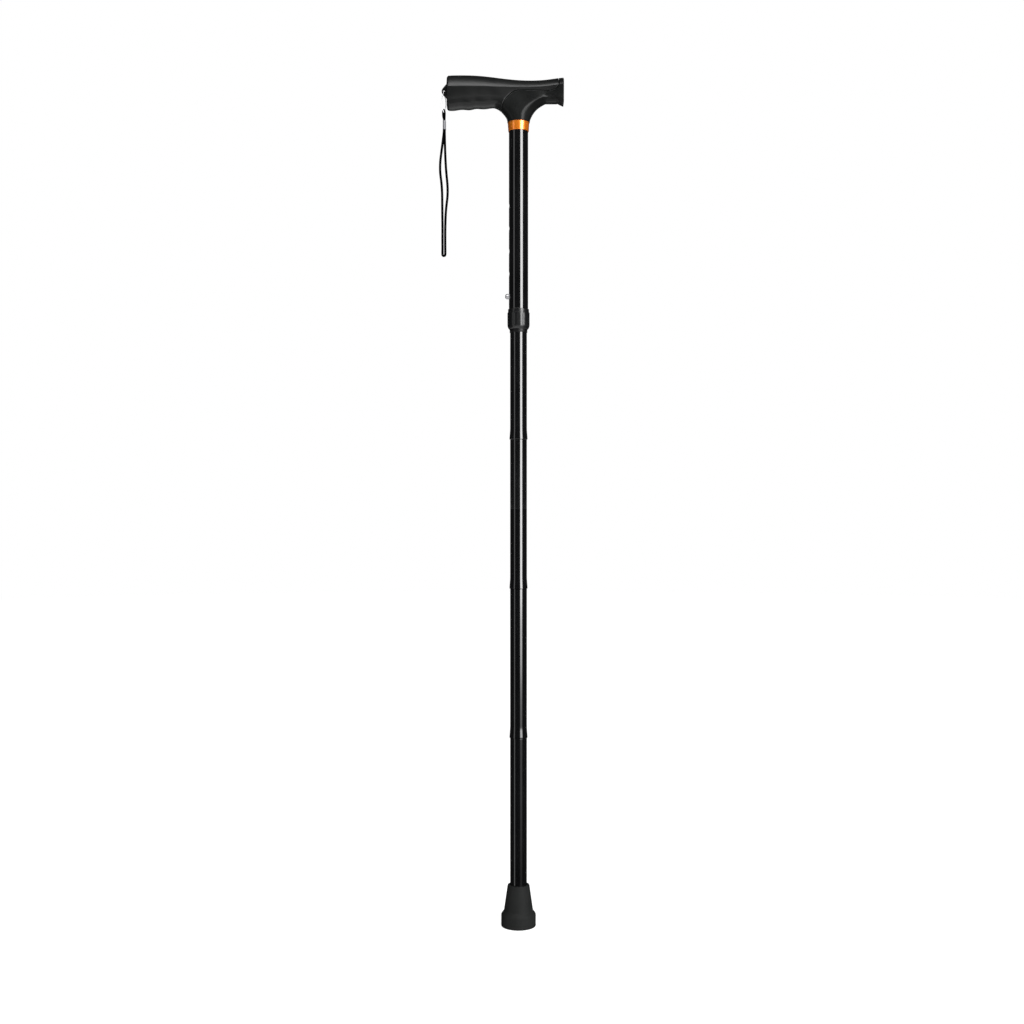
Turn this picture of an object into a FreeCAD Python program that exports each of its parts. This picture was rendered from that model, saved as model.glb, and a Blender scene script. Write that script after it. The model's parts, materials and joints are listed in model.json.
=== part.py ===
import FreeCAD, Part
import math
import os

# A folding, height-adjustable single point cane with a T-shaped handle.
# Frame: the origin is the centre of the rubber tip's sole, +Z runs up the shaft,
# and +X points to the handle's nose, so the strap lug is on the -X side.
# All sizes are in millimetres, and radii are of round parts about the shaft axis.

V = FreeCAD.Vector

# Fits
GLUED = 0.03                 # radial gap of a glued or pressed fit
RUNNING = 0.08               # radial gap of a sliding or turning fit

# Shaft tubes
UPPER_R = 10.75
LOWER_R = 9.35
WALL = 1.2
UPPER_BORE = UPPER_R - WALL
LOWER_BORE = LOWER_R - WALL

# Heights along the shaft
SOLE_RUBBER = 10.5           # thickness of rubber under the steel disc
JOINT_4 = 210.4              # where section 4 meets section 3
JOINT_3 = 377.3
JOINT_2 = 544.2
SECTION_1_TOP = 790.0
LOCK_TOP = 690.0
RING_BOTTOM = 888.8
NECK_BOTTOM = 898.8
UPPER_TUBE_TOP = 928.0

# Height adjustment
BUTTON_HEIGHT = 704.2        # the lowest of the upper tube's holes
HOLE_PITCH = 25.4
HOLE_COUNT = 5
HOLE_R = 3.2
BUTTON_R = 3.0
BUTTON_REACH = 14.95         # from the shaft axis to the top of the dome
DOME_RISE = 1.6
LEAF_THICK = 0.8
LEAF_HALF_WIDTH = 3.0
LEAF_X = -7.05               # the button's leg, beside section 1's bore
LEAF_FAR_X = 7.0             # the end of the other leg
LEAF_ABOVE = 8.0             # how far the button's leg reaches above the button
LEAF_BEND_X = 4.2            # half the length of the bend at the clip's bottom
LEAF_BEND_Z = 666.0
GLIDE_PLUG_LENGTH = 14.0
GLIDE_FLANGE = 3.0
GLIDE_ROUND = 0.8

# Folding joints
BELL_LENGTH = 11.0
BELL_R = 10.1
BELL_MOUTH_R = 8.95
SPIGOT_OUT = 35.0            # how far a spigot stands in the socket above
SPIGOT_IN = 25.0
SPIGOT_BORE = 6.9
SPIGOT_LEAD = 1.2            # length of the lead-in at a spigot's top
TUBE_BEVEL = 0.5             # bevel at a folding section's upper end
BELL_RIM = 0.8               # straight rim of a bell below its cone
BELL_ROUND = 0.4

# Elastic cord inside the folding sections
CORD_R = 2.0
CORD_HOLE_R = 2.3
CORD_KNOT_R = 3.8
TOP_PLUG_LOW = 636.0
TOP_PLUG_HIGH = 650.0
BOTTOM_PLUG_LOW = 31.0
BOTTOM_PLUG_HIGH = 45.0
WASHER_THICK = 1.2
TOP_WASHER_R = 6.0
KNOT_GAP = 0.05

# Rubber tip
TIP_TOP = 46.1
TIP_FOOT_R = 19.4
TIP_FOOT_TOP = 13.3
TIP_CONE_BOTTOM = 17.4
TIP_CONE_R = 16.3
TIP_NECK_R = 12.15
TREAD_RINGS = (5.5, 10.0, 14.5)
TREAD_WIDTH = 1.8
TREAD_DEPTH = 1.5
TIP_SOLE_ROUND = 1.0
TIP_FOOT_ROUND = 1.2
TIP_NECK_ROUND = 1.0

# Lock collar: sleeve, split collet and fluted nut
LOCK_STEP_R = 11.7
LOCK_STEP_BOTTOM = 686.0
LOCK_THREAD_R = 11.2
LOCK_BODY_BOTTOM = 674.0
LOCK_BODY_BORE = UPPER_BORE + 0.05
LOCK_BODY_CONE = 4.0         # height of the cone that closes the collet
LOCK_BODY_MOUTH_R = 10.5
LOCK_BODY_ROUND = 0.5
LOCK_SHOULDER = 683.0        # the upper tube's end rests here
LOCK_RING_R = 12.375
LOCK_RING_BOTTOM = 667.4
LOCK_RING_FLOOR = 669.1      # the nut's inner floor, below the collet's flange
LOCK_RING_TAPER_TOP = 671.4
LOCK_RING_MOUTH_R = 10.0
LOCK_RING_RIM_R = 10.5
LOCK_RING_TAPER_R = 11.7     # halfway up the lower taper, level with the floor
COLLET_BORE = LOWER_R + 0.07
COLLET_LIP_R = 9.9
COLLET_LIP_ROUND = 0.3
COLLET_BOTTOM = 663.7
COLLET_FLANGE_R = 10.9
COLLET_FLANGE_BOTTOM = 669.2
COLLET_FLANGE_TOP = 673.6
COLLET_NECK_R = 10.4
COLLET_NOSE_R = 9.72
COLLET_NOSE = 3.0            # how far the collet's cone reaches into the lock body
COLLET_SLOT_COUNT = 6
COLLET_SLOT_BOTTOM = 669.8
COLLET_SLOT_WIDTH = 1.0
FLUTE_COUNT = 14
FLUTE_DEPTH = 0.15
FLUTE_R = 2.6
FLUTE_STOP = 1.2             # plain band above the flutes

# Collar ring below the handle
COLLAR_LOW_R = 11.4
COLLAR_TOP_R = 12.15
COLLAR_LOW_ROUND = 0.3
COLLAR_TOP_ROUND = 0.4

# Handle fixing: a plug in the tube's top and a long screw up into the core
PLUG_BOTTOM = 906.0
PLUG_TOP = UPPER_TUBE_TOP - 0.2
SCREW_CLEARANCE_R = 2.6
HEAD_BORE = 4.6
HEAD_SEAT = 911.0
HEAD_R = 4.2
HEAD_HEIGHT = 3.4
HEAD_SLOT_LENGTH = 5.0
HEAD_SLOT_WIDTH = 1.0
HEAD_SLOT_DEPTH = 1.8
SCREW_TOP = 938.0
SCREW_POINT = 3.0
SCREW_R = 2.5

# Handle
HANDLE_LEFT = -80.2
HANDLE_RIGHT = 50.5
COVER_RIGHT = 44.8           # the soft cover ends here, against the core's end rim
LEFT_END_ROUND = 2.5
RIGHT_END_ROUND = 1.3
BAR_DRAFT = 2.2              # how far each side draws in below its widest line
BELLY_SHAPE = 2.6            # exponent of the belly's superellipse
INNER_BAR_INSET = 3.0        # from the handle's left end
INNER_BAR_RIGHT = 46.0
INNER_BAR_HALF_WIDTH = 8.0
INNER_BAR_BOTTOM = 921.0
INNER_BAR_TOP = 941.0
INNER_BAR_ROUND = 4.0
ZONE_HALF_DEPTH = 30.0       # beyond the handle's front and back
ZONE_TOP = 960.0
ZONE_BOTTOM = 890.0
ZONE_RIGHT = 70.0
CORE_CUT_BOTTOM = 880.0      # below the neck, where the core's bores start
LUG_THICK = 5.0
LUG_HOLE = V(-83.6, 0, 934.3)
LUG_HOLE_R = 1.3

# Bar sections along the handle: x, bottom, widest height, top, half width, belly height
BAR_STATIONS = (
    (HANDLE_LEFT, 913.4, 935.0, 951.0, 13.9, 10),
    (-66.0, 913.8, 935.0, 951.5, 14.4, 11),
    (-45.0, 914.8, 934.8, 951.0, 14.5, 11),
    (-28.0, 915.9, 934.4, 949.0, 14.1, 10),
    (-5.0, 918.6, 934.0, 946.4, 13.5, 8),
    (15.0, 921.9, 934.0, 945.7, 13.0, 6),
    (33.0, 924.2, 934.6, 946.8, 12.9, 5),
    (COVER_RIGHT, 920.7, 935.4, 948.4, 13.5, 5),
    (HANDLE_RIGHT, 918.0, 936.0, 948.8, 14.0, 5),
)

# Neck sections: height, left, right, half width, squareness of the outline
NECK_STATIONS = (
    (NECK_BOTTOM, -12.4, 12.6, 12.5, 2.0),
    (905.5, -14.2, 14.4, 12.6, 2.1),
    (910.5, -17.9, 17.2, 12.3, 2.3),
    (915.5, -23.3, 21.9, 12.1, 2.7),
    (920.0, -30.0, 27.9, 11.9, 3.2),
    (925.0, -37.0, 36.0, 11.8, 3.6),
    (930.0, -37.0, 36.0, 11.7, 3.6),
)

# The seam between core and soft cover, as (x, z)
SEAM = (
    (-19.7, 911.4),
    (-18.6, 914.0),
    (-17.4, 917.0),
    (-15.1, 922.0),
    (-11.7, 925.9),
    (-7.3, 929.4),
    (-2.9, 931.4),
    (2.7, 932.2),
    (19.3, 932.1),
    (30.4, 931.8),
    (36.0, 932.1),
    (40.4, 933.4),
    (43.2, 935.3),
    (COVER_RIGHT, 938.4),
)
SEAM_NECK = ((-25.0, ZONE_BOTTOM), (-21.6, 906.0))

# The strap lug's outline, as (x, z)
LUG_OUTLINE = (
    (-76.7, 944.5),
    (-80.2, 942.6),
    (-84.9, 937.0),
    (-86.0, 935.0),
    (-86.1, 933.4),
    (-85.4, 931.4),
    (-80.2, 925.5),
    (-76.7, 924.0),
)

# Wrist strap
THREAD_R = 0.45
STRAP_R = 1.35
STRAND_Y = 1.45              # each strand's distance from the strap's middle inside the crimp
CRIMP_BOTTOM = 891.0
CRIMP_TOP = 901.0
CRIMP_X = -83.0
CRIMP_PLAY = 0.12            # between the cord and the pressed sleeve
CRIMP_WALL = 0.3
EYE_OUTLINE = (
    (-84.4, 901.0),
    (-85.2, 905.5),
    (-85.6, 910.0),
    (-85.6, 913.2),
    (-84.8, 913.9),
    (-82.4, 912.6),
    (-81.5, 911.4),
    (-81.6, 906.5),
    (-82.0, 901.0),
)
EYE_GAP_X = (-84.6, -82.8)   # the thread's passage through the eye
EYE_GAP_Z = (909.6, 912.0)


def revolve(profile):
    """A solid of revolution about the shaft from (radius, height) corners."""
    points = [V(r, 0, z) for r, z in profile]
    face = Part.Face(Part.makePolygon(points + points[:1]))
    return face.revolve(V(0, 0, 0), V(0, 0, 1), 360)


def rims(solid, radius, height):
    """The circular edges of that radius at that height."""
    found = []
    for edge in solid.Edges:
        curve = edge.Curve
        if curve.TypeId != "Part::GeomCircle":
            continue
        if abs(curve.Radius - radius) < 0.01 and abs(curve.Center.z - height) < 0.01:
            found.append(edge)
    return found


def round_rim(solid, size, radius, height):
    return solid.makeFillet(size, rims(solid, radius, height))


def rounded_path(points, share=0.45):
    """Straight runs joined by tangent arcs, and the arcs' radii."""
    edges = []
    radii = []
    start = points[0]
    for before, corner, after in zip(points, points[1:], points[2:]):
        into = (corner - before).normalize()
        out = (after - corner).normalize()
        half_turn = into.getAngle(out) / 2
        cut = share * min(before.distanceToPoint(corner), corner.distanceToPoint(after))
        first = corner - into * cut
        last = corner + out * cut
        radius = cut / math.tan(half_turn)
        inward = (out - into).normalize()
        middle = corner + inward * (radius / math.cos(half_turn) - radius)
        edges.append(Part.LineSegment(start, first).toShape())
        edges.append(Part.Arc(first, middle, last).toShape())
        radii.append(radius)
        start = last
    edges.append(Part.LineSegment(start, points[-1]).toShape())
    return Part.Wire(edges), radii


def sweep(path, profile):
    return path.makePipeShell([profile], True, True)


def cord_tube(name, points, radius):
    """A round tube along a route, with its volume and bends printed."""
    path, radii = rounded_path(points)
    direction = points[1] - points[0]
    ring = Part.Wire(Part.makeCircle(radius, points[0], direction))
    tube = sweep(path, ring)
    share = tube.Volume / (math.pi * radius**2 * path.Length)
    bends = " ".join(f"{r:.1f}" for r in radii)
    print(f"{name}: length {path.Length:.1f}, volume share {share:.4f}, radii {bends}")
    return tube


# Foot

def rubber_tip():
    tip = revolve([
        (0, 0),
        (TIP_FOOT_R, 0),
        (TIP_FOOT_R, TIP_FOOT_TOP),
        (TIP_CONE_R, TIP_CONE_BOTTOM),
        (TIP_NECK_R, TIP_TOP),
        (LOWER_R + GLUED, TIP_TOP),
        (LOWER_R + GLUED, SOLE_RUBBER),
        (0, SOLE_RUBBER),
    ])
    for radius in TREAD_RINGS:
        groove = revolve([
            (radius, -1),
            (radius + TREAD_WIDTH, -1),
            (radius + TREAD_WIDTH, TREAD_DEPTH),
            (radius, TREAD_DEPTH),
        ])
        tip = tip.cut(groove)
    tip = round_rim(tip, TIP_SOLE_ROUND, TIP_FOOT_R, 0)
    tip = round_rim(tip, TIP_FOOT_ROUND, TIP_FOOT_R, TIP_FOOT_TOP)
    return round_rim(tip, TIP_NECK_ROUND, TIP_NECK_R, TIP_TOP)


def tip_washer():
    radius = LOWER_R - RUNNING
    return Part.makeCylinder(radius, WASHER_THICK, V(0, 0, SOLE_RUBBER))


# Folding sections

def plain_section(bottom, top):
    return revolve([
        (LOWER_BORE, bottom),
        (LOWER_R, bottom),
        (LOWER_R, top - TUBE_BEVEL),
        (LOWER_R - TUBE_BEVEL, top),
        (LOWER_BORE, top),
    ])


def belled_section(bottom, top):
    """A section whose lower end is swaged out into a bell that takes the spigot below."""
    tube = revolve([
        (BELL_MOUTH_R, bottom),
        (BELL_R, bottom),
        (BELL_R, bottom + BELL_RIM),
        (LOWER_R, bottom + BELL_LENGTH),
        (LOWER_R, top - TUBE_BEVEL),
        (LOWER_R - TUBE_BEVEL, top),
        (LOWER_BORE, top),
        (LOWER_BORE, bottom + BELL_LENGTH),
    ])
    return round_rim(tube, BELL_ROUND, BELL_R, bottom)


def section_1_tube():
    tube = belled_section(JOINT_2, SECTION_1_TOP)
    hole = Part.makeCylinder(BUTTON_R + RUNNING, 2 * LOWER_R, V(0, 0, BUTTON_HEIGHT), V(-1, 0, 0))
    return tube.cut(hole)


def spigot(joint):
    """The joining sleeve: its lower part is fixed in its own section, and the rest stands out."""
    fixed_r = LOWER_BORE - GLUED
    free_r = LOWER_BORE - RUNNING
    top = joint + SPIGOT_OUT
    return revolve([
        (SPIGOT_BORE, joint - SPIGOT_IN),
        (fixed_r, joint - SPIGOT_IN),
        (fixed_r, joint - 1),
        (free_r, joint),
        (free_r, top - SPIGOT_LEAD),
        (free_r - SPIGOT_LEAD / 2, top),
        (SPIGOT_BORE, top),
    ])


def holed_plug(low, high, hole_r):
    return revolve([
        (hole_r, low),
        (LOWER_BORE - GLUED, low),
        (LOWER_BORE - GLUED, high),
        (hole_r, high),
    ])


def cord_top_washer():
    return revolve([
        (CORD_HOLE_R, TOP_PLUG_HIGH),
        (TOP_WASHER_R, TOP_PLUG_HIGH),
        (TOP_WASHER_R, TOP_PLUG_HIGH + WASHER_THICK),
        (CORD_HOLE_R, TOP_PLUG_HIGH + WASHER_THICK),
    ])


def elastic_cord():
    """The shock cord with a knot beyond the plug at each end."""
    knot_top = TOP_PLUG_HIGH + WASHER_THICK + CORD_KNOT_R + KNOT_GAP
    knot_bottom = BOTTOM_PLUG_LOW - CORD_KNOT_R - KNOT_GAP
    cord = Part.makeCylinder(CORD_R, knot_top - knot_bottom, V(0, 0, knot_bottom))
    cord = cord.fuse(Part.makeSphere(CORD_KNOT_R, V(0, 0, knot_top)))
    return cord.fuse(Part.makeSphere(CORD_KNOT_R, V(0, 0, knot_bottom))).removeSplitter()


def top_glide_plug():
    """Plastic end plug whose flange guides section 1 in the upper tube."""
    plug = revolve([
        (0, SECTION_1_TOP - GLIDE_PLUG_LENGTH),
        (LOWER_BORE - GLUED, SECTION_1_TOP - GLIDE_PLUG_LENGTH),
        (LOWER_BORE - GLUED, SECTION_1_TOP),
        (UPPER_BORE - RUNNING, SECTION_1_TOP),
        (UPPER_BORE - RUNNING, SECTION_1_TOP + GLIDE_FLANGE),
        (0, SECTION_1_TOP + GLIDE_FLANGE),
    ])
    return round_rim(plug, GLIDE_ROUND, UPPER_BORE - RUNNING, SECTION_1_TOP + GLIDE_FLANGE)


def snap_button_clip():
    """One-piece spring clip: a bent leaf in section 1 with a domed button drawn out of one leg."""
    top = BUTTON_HEIGHT + LEAF_ABOVE
    inner = LEAF_X + LEAF_THICK / 2
    outer = LEAF_X - LEAF_THICK / 2
    path, _ = rounded_path([
        V(LEAF_X, 0, top),
        V(LEAF_X, 0, BUTTON_HEIGHT - 10),
        V(-LEAF_BEND_X, 0, LEAF_BEND_Z),
        V(LEAF_BEND_X, 0, LEAF_BEND_Z),
        V(LEAF_FAR_X, 0, BUTTON_HEIGHT - 4),
    ])
    corners = [
        V(outer, -LEAF_HALF_WIDTH, top),
        V(inner, -LEAF_HALF_WIDTH, top),
        V(inner, LEAF_HALF_WIDTH, top),
        V(outer, LEAF_HALF_WIDTH, top),
    ]
    clip = sweep(path, Part.makePolygon(corners + corners[:1]))
    dome_base = BUTTON_REACH - DOME_RISE
    stem = Part.makeCylinder(BUTTON_R, dome_base + LEAF_X, V(LEAF_X, 0, BUTTON_HEIGHT), V(-1, 0, 0))
    dome_r = (BUTTON_R**2 + DOME_RISE**2) / (2 * DOME_RISE)
    ball = Part.makeSphere(dome_r, V(dome_r - BUTTON_REACH, 0, BUTTON_HEIGHT))
    cap = Part.makeCylinder(BUTTON_R, BUTTON_R, V(-dome_base, 0, BUTTON_HEIGHT), V(-1, 0, 0))
    return clip.fuse(stem).fuse(ball.common(cap)).removeSplitter()


# Upper tube and lock collar

def upper_tube():
    tube = revolve([
        (UPPER_BORE, LOCK_SHOULDER),
        (UPPER_R, LOCK_SHOULDER),
        (UPPER_R, UPPER_TUBE_TOP),
        (UPPER_BORE, UPPER_TUBE_TOP),
    ])
    for i in range(HOLE_COUNT):
        height = BUTTON_HEIGHT + i * HOLE_PITCH
        hole = Part.makeCylinder(HOLE_R, 2 * UPPER_R, V(0, 0, height), V(-1, 0, 0))
        tube = tube.cut(hole)
    return tube


def lock_body():
    body = revolve([
        (UPPER_R + GLUED, LOCK_TOP),
        (LOCK_STEP_R, LOCK_TOP),
        (LOCK_STEP_R, LOCK_STEP_BOTTOM),
        (LOCK_THREAD_R, LOCK_STEP_BOTTOM),
        (LOCK_THREAD_R, LOCK_BODY_BOTTOM),
        (LOCK_BODY_MOUTH_R, LOCK_BODY_BOTTOM),
        (LOCK_BODY_BORE, LOCK_BODY_BOTTOM + LOCK_BODY_CONE),
        (LOCK_BODY_BORE, LOCK_SHOULDER),
        (UPPER_R + GLUED, LOCK_SHOULDER),
    ])
    return round_rim(body, LOCK_BODY_ROUND, LOCK_STEP_R, LOCK_TOP)


def lock_collet():
    """Split ring: tightening the nut drives its cone into the lock body, and it grips section 1."""
    collet = revolve([
        (COLLET_BORE, COLLET_BOTTOM),
        (COLLET_LIP_R, COLLET_BOTTOM),
        (COLLET_LIP_R, COLLET_FLANGE_BOTTOM),
        (COLLET_FLANGE_R, COLLET_FLANGE_BOTTOM),
        (COLLET_FLANGE_R, COLLET_FLANGE_TOP),
        (COLLET_NECK_R, COLLET_FLANGE_TOP),
        (COLLET_NECK_R, LOCK_BODY_BOTTOM),
        (COLLET_NOSE_R, LOCK_BODY_BOTTOM + COLLET_NOSE),
        (COLLET_BORE, LOCK_BODY_BOTTOM + COLLET_NOSE),
    ])
    inside = COLLET_BORE - 2
    length = COLLET_FLANGE_R + 2 - inside
    for i in range(COLLET_SLOT_COUNT):
        corner = V(inside, -COLLET_SLOT_WIDTH / 2, COLLET_SLOT_BOTTOM)
        slot = Part.makeBox(length, COLLET_SLOT_WIDTH, LOCK_BODY_CONE + 6, corner)
        slot.rotate(V(0, 0, 0), V(0, 0, 1), 360 * i / COLLET_SLOT_COUNT)
        collet = collet.cut(slot)
    return round_rim(collet, COLLET_LIP_ROUND, COLLET_LIP_R, COLLET_BOTTOM)


def lock_ring():
    """Fluted nut that turns on the lock body's thread, which is drawn plain."""
    ring = revolve([
        (LOCK_RING_MOUTH_R, LOCK_RING_BOTTOM),
        (LOCK_RING_RIM_R, LOCK_RING_BOTTOM),
        (LOCK_RING_TAPER_R, LOCK_RING_FLOOR),
        (LOCK_RING_R, LOCK_RING_TAPER_TOP),
        (LOCK_RING_R, LOCK_STEP_BOTTOM),
        (LOCK_THREAD_R + RUNNING, LOCK_STEP_BOTTOM),
        (LOCK_THREAD_R + RUNNING, LOCK_RING_FLOOR),
        (LOCK_RING_MOUTH_R, LOCK_RING_FLOOR),
    ])
    height = LOCK_STEP_BOTTOM - FLUTE_STOP - LOCK_RING_BOTTOM
    away = LOCK_RING_R + FLUTE_R - FLUTE_DEPTH
    for i in range(FLUTE_COUNT):
        angle = 2 * math.pi * (i + 0.5) / FLUTE_COUNT
        place = V(away * math.cos(angle), away * math.sin(angle), LOCK_RING_BOTTOM)
        ring = ring.cut(Part.makeCylinder(FLUTE_R, height, place))
    return ring


def collar_ring():
    """Tapered metal ring that covers the joint of tube and handle."""
    ring = revolve([
        (UPPER_R + GLUED, RING_BOTTOM),
        (COLLAR_LOW_R, RING_BOTTOM),
        (COLLAR_TOP_R, NECK_BOTTOM),
        (UPPER_R + GLUED, NECK_BOTTOM),
    ])
    ring = round_rim(ring, COLLAR_LOW_ROUND, COLLAR_LOW_R, RING_BOTTOM)
    return round_rim(ring, COLLAR_TOP_ROUND, COLLAR_TOP_R, NECK_BOTTOM)


# Handle

def tube_top_plug():
    radius = UPPER_BORE - GLUED
    return revolve([
        (HEAD_BORE, PLUG_BOTTOM),
        (radius, PLUG_BOTTOM),
        (radius, PLUG_TOP),
        (SCREW_CLEARANCE_R, PLUG_TOP),
        (SCREW_CLEARANCE_R, HEAD_SEAT),
        (HEAD_BORE, HEAD_SEAT),
    ])


def handle_screw():
    """Long pan-head screw, put in from the tube's open end before the shaft is assembled."""
    head_bottom = HEAD_SEAT - HEAD_HEIGHT
    head_top = HEAD_SEAT - GLUED
    screw = revolve([
        (0, head_bottom),
        (HEAD_R, head_bottom),
        (HEAD_R, head_top),
        (SCREW_R, head_top),
        (SCREW_R, SCREW_TOP - SCREW_POINT),
        (0, SCREW_TOP),
    ])
    for turn in (0, 90):
        corner = V(-HEAD_SLOT_LENGTH / 2, -HEAD_SLOT_WIDTH / 2, head_bottom)
        slot = Part.makeBox(HEAD_SLOT_LENGTH, HEAD_SLOT_WIDTH, HEAD_SLOT_DEPTH, corner)
        slot.rotate(V(0, 0, 0), V(0, 0, 1), turn)
        screw = screw.cut(slot)
    return screw


def bar_section(x, bottom, widest, top, half_width, belly):
    """A closed outline across the handle's bar at x.

    The sides are widest at one height, with a crown above, and below it they draw in to a rounded
    belly that starts at the height 'belly' above the bottom.
    """
    rise = top - widest
    crown_angles = (0, 30, 60, 90, 120, 150, 180)
    crown = [
        V(x, half_width * math.cos(math.radians(a)), widest + rise * math.sin(math.radians(a)))
        for a in crown_angles
    ]
    foot = half_width - BAR_DRAFT
    under = []
    for a in (180, 205, 235, 270, 305, 335, 360):
        c = math.cos(math.radians(a))
        s = math.sin(math.radians(a))
        y = foot * math.copysign(abs(c) ** (2 / BELLY_SHAPE), c)
        z = bottom + belly - belly * abs(s) ** (2 / BELLY_SHAPE)
        under.append(V(x, y, z))
    crown_curve = Part.BSplineCurve()
    crown_curve.interpolate(crown)
    under_curve = Part.BSplineCurve()
    under_curve.interpolate(under)
    right = Part.LineSegment(under[-1], crown[0])
    left = Part.LineSegment(crown[-1], under[0])
    return Part.Wire([crown_curve.toShape(), left.toShape(), under_curve.toShape(), right.toShape()])


def edges_at(solid, x):
    """The edges that lie in the plane across the handle at x."""
    found = []
    for edge in solid.Edges:
        box = edge.BoundBox
        if abs(box.XMin - x) < 0.01 and abs(box.XMax - x) < 0.01:
            found.append(edge)
    return found


def handle_bar():
    bar = Part.makeLoft([bar_section(*station) for station in BAR_STATIONS], True, False)
    bar = bar.makeFillet(LEFT_END_ROUND, edges_at(bar, HANDLE_LEFT))
    return bar.makeFillet(RIGHT_END_ROUND, edges_at(bar, HANDLE_RIGHT))


def neck_section(z, left, right, half_width, squareness):
    """A closed superellipse across the neck at the height z."""
    centre = (left + right) / 2
    reach = (right - left) / 2
    points = []
    for step in range(16):
        angle = math.pi * step / 8
        c = math.cos(angle)
        s = math.sin(angle)
        x = centre + reach * math.copysign(abs(c) ** (2 / squareness), c)
        y = half_width * math.copysign(abs(s) ** (2 / squareness), s)
        points.append(V(x, y, z))
    curve = Part.BSplineCurve()
    curve.interpolate(points, PeriodicFlag=True)
    return Part.Wire(curve.toShape())


def handle_neck():
    return Part.makeLoft([neck_section(*station) for station in NECK_STATIONS], True, False)


def core_zone():
    """Everything on the core's side of the seam between core and soft cover."""
    front = -ZONE_HALF_DEPTH
    seam = [V(x, front, z) for x, z in SEAM]
    curve = Part.BSplineCurve()
    curve.interpolate(seam)
    rest = Part.makePolygon([
        seam[-1],
        V(COVER_RIGHT, front, ZONE_TOP),
        V(ZONE_RIGHT, front, ZONE_TOP),
        V(ZONE_RIGHT, front, ZONE_BOTTOM),
        *(V(x, front, z) for x, z in SEAM_NECK),
        seam[0],
    ])
    outline = Part.Wire([curve.toShape()] + rest.Edges)
    return Part.Face(outline).extrude(V(0, 2 * ZONE_HALF_DEPTH, 0))


def inner_bar():
    """The core's bar inside the soft cover."""
    left = HANDLE_LEFT + INNER_BAR_INSET
    length = INNER_BAR_RIGHT - left
    height = INNER_BAR_TOP - INNER_BAR_BOTTOM
    corner = V(left, -INNER_BAR_HALF_WIDTH, INNER_BAR_BOTTOM)
    bar = Part.makeBox(length, 2 * INNER_BAR_HALF_WIDTH, height, corner)
    along = [e for e in bar.Edges if abs(e.tangentAt(e.FirstParameter).x) > 0.9]
    return bar.makeFillet(INNER_BAR_ROUND, along)


def lug_plate():
    """The pierced strap lug that stands out of the bar's left end."""
    corners = [V(x, -LUG_THICK / 2, z) for x, z in LUG_OUTLINE]
    face = Part.Face(Part.makePolygon(corners + corners[:1]))
    plate = face.extrude(V(0, LUG_THICK, 0))
    start = V(LUG_HOLE.x, -LUG_THICK, LUG_HOLE.z)
    return plate.cut(Part.makeCylinder(LUG_HOLE_R, 2 * LUG_THICK, start, V(0, 1, 0)))


def handle_pieces():
    """The moulded core and the soft cover, which share one outer shape."""
    outer = handle_bar().fuse(handle_neck())
    skeleton = inner_bar().fuse(lug_plate())
    zone = core_zone()
    core = outer.common(zone).fuse(skeleton)
    below = V(0, 0, CORE_CUT_BOTTOM)
    socket = Part.makeCylinder(UPPER_R + GLUED, UPPER_TUBE_TOP + 0.2 - CORE_CUT_BOTTOM, below)
    pilot = Part.makeCylinder(SCREW_R + GLUED, SCREW_TOP + 1 - CORE_CUT_BOTTOM, below)
    core = core.cut(socket).cut(pilot)
    cover = outer.cut(zone).cut(skeleton)
    return core, cover


# Wrist strap. The routes are chosen by hand: the thread is a loop through the lug, and the strap's
# cord leaves the crimp, hangs down in two uneven strands and turns back at the bottom.

THREAD_ROUTE = [
    V(-83.7, -0.15, 910.6),
    V(-83.9, -2.2, 910.9),
    V(-85.6, -2.6, 914.6),
    V(-86.4, -3.1, 919.6),
    V(-85.6, -3.5, 926.0),
    V(-84.2, -3.6, 930.2),
    V(-83.7, -3.3, 933.8),
    V(-83.5, 3.3, 933.7),
    V(-83.0, 3.6, 930.2),
    V(-81.9, 3.5, 926.0),
    V(-81.6, 3.1, 919.6),
    V(-82.2, 2.6, 914.6),
    V(-83.5, 2.2, 910.9),
    V(-83.7, 0.15, 910.6),
]

STRAP_ROUTE = [
    V(-83.0, -1.45, 900.8),
    V(-83.1, -1.47, 890.6),
    V(-85.4, -1.1, 873.0),
    V(-88.6, -0.3, 848.5),
    V(-85.6, 0.3, 827.0),
    V(-85.4, 0.1, 803.0),
    V(-85.1, 0.0, 781.0),
    V(-85.2, 0.0, 767.0),
    V(-85.1, 0.0, 758.5),
    V(-85.2, 0.0, 753.6),
    V(-85.1, 0.0, 749.9),
    V(-82.0, 0.0, 749.9),
    V(-82.0, 0.0, 755.0),
    V(-82.1, 0.0, 764.0),
    V(-82.1, 0.0, 780.0),
    V(-81.6, 0.1, 800.0),
    V(-78.7, 0.2, 822.0),
    V(-81.4, 0.6, 847.0),
    V(-82.4, 1.1, 871.0),
    V(-82.9, 1.47, 890.6),
    V(-83.0, 1.45, 900.8),
]


def stadium(half_x, half_y, low, high):
    """An upright block whose outline has straight sides and half-round ends along Y."""
    middle = half_y - half_x
    block = Part.makeBox(2 * half_x, 2 * middle, high - low, V(CRIMP_X - half_x, -middle, low))
    for y in (-middle, middle):
        block = block.fuse(Part.makeCylinder(half_x, high - low, V(CRIMP_X, y, low)))
    return block.removeSplitter()


def strap_crimp():
    inner_x = STRAP_R + CRIMP_PLAY
    inner_y = STRAND_Y + inner_x
    outer = stadium(inner_x + CRIMP_WALL, inner_y + CRIMP_WALL, CRIMP_BOTTOM, CRIMP_TOP)
    return outer.cut(stadium(inner_x, inner_y, CRIMP_BOTTOM, CRIMP_TOP))


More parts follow.
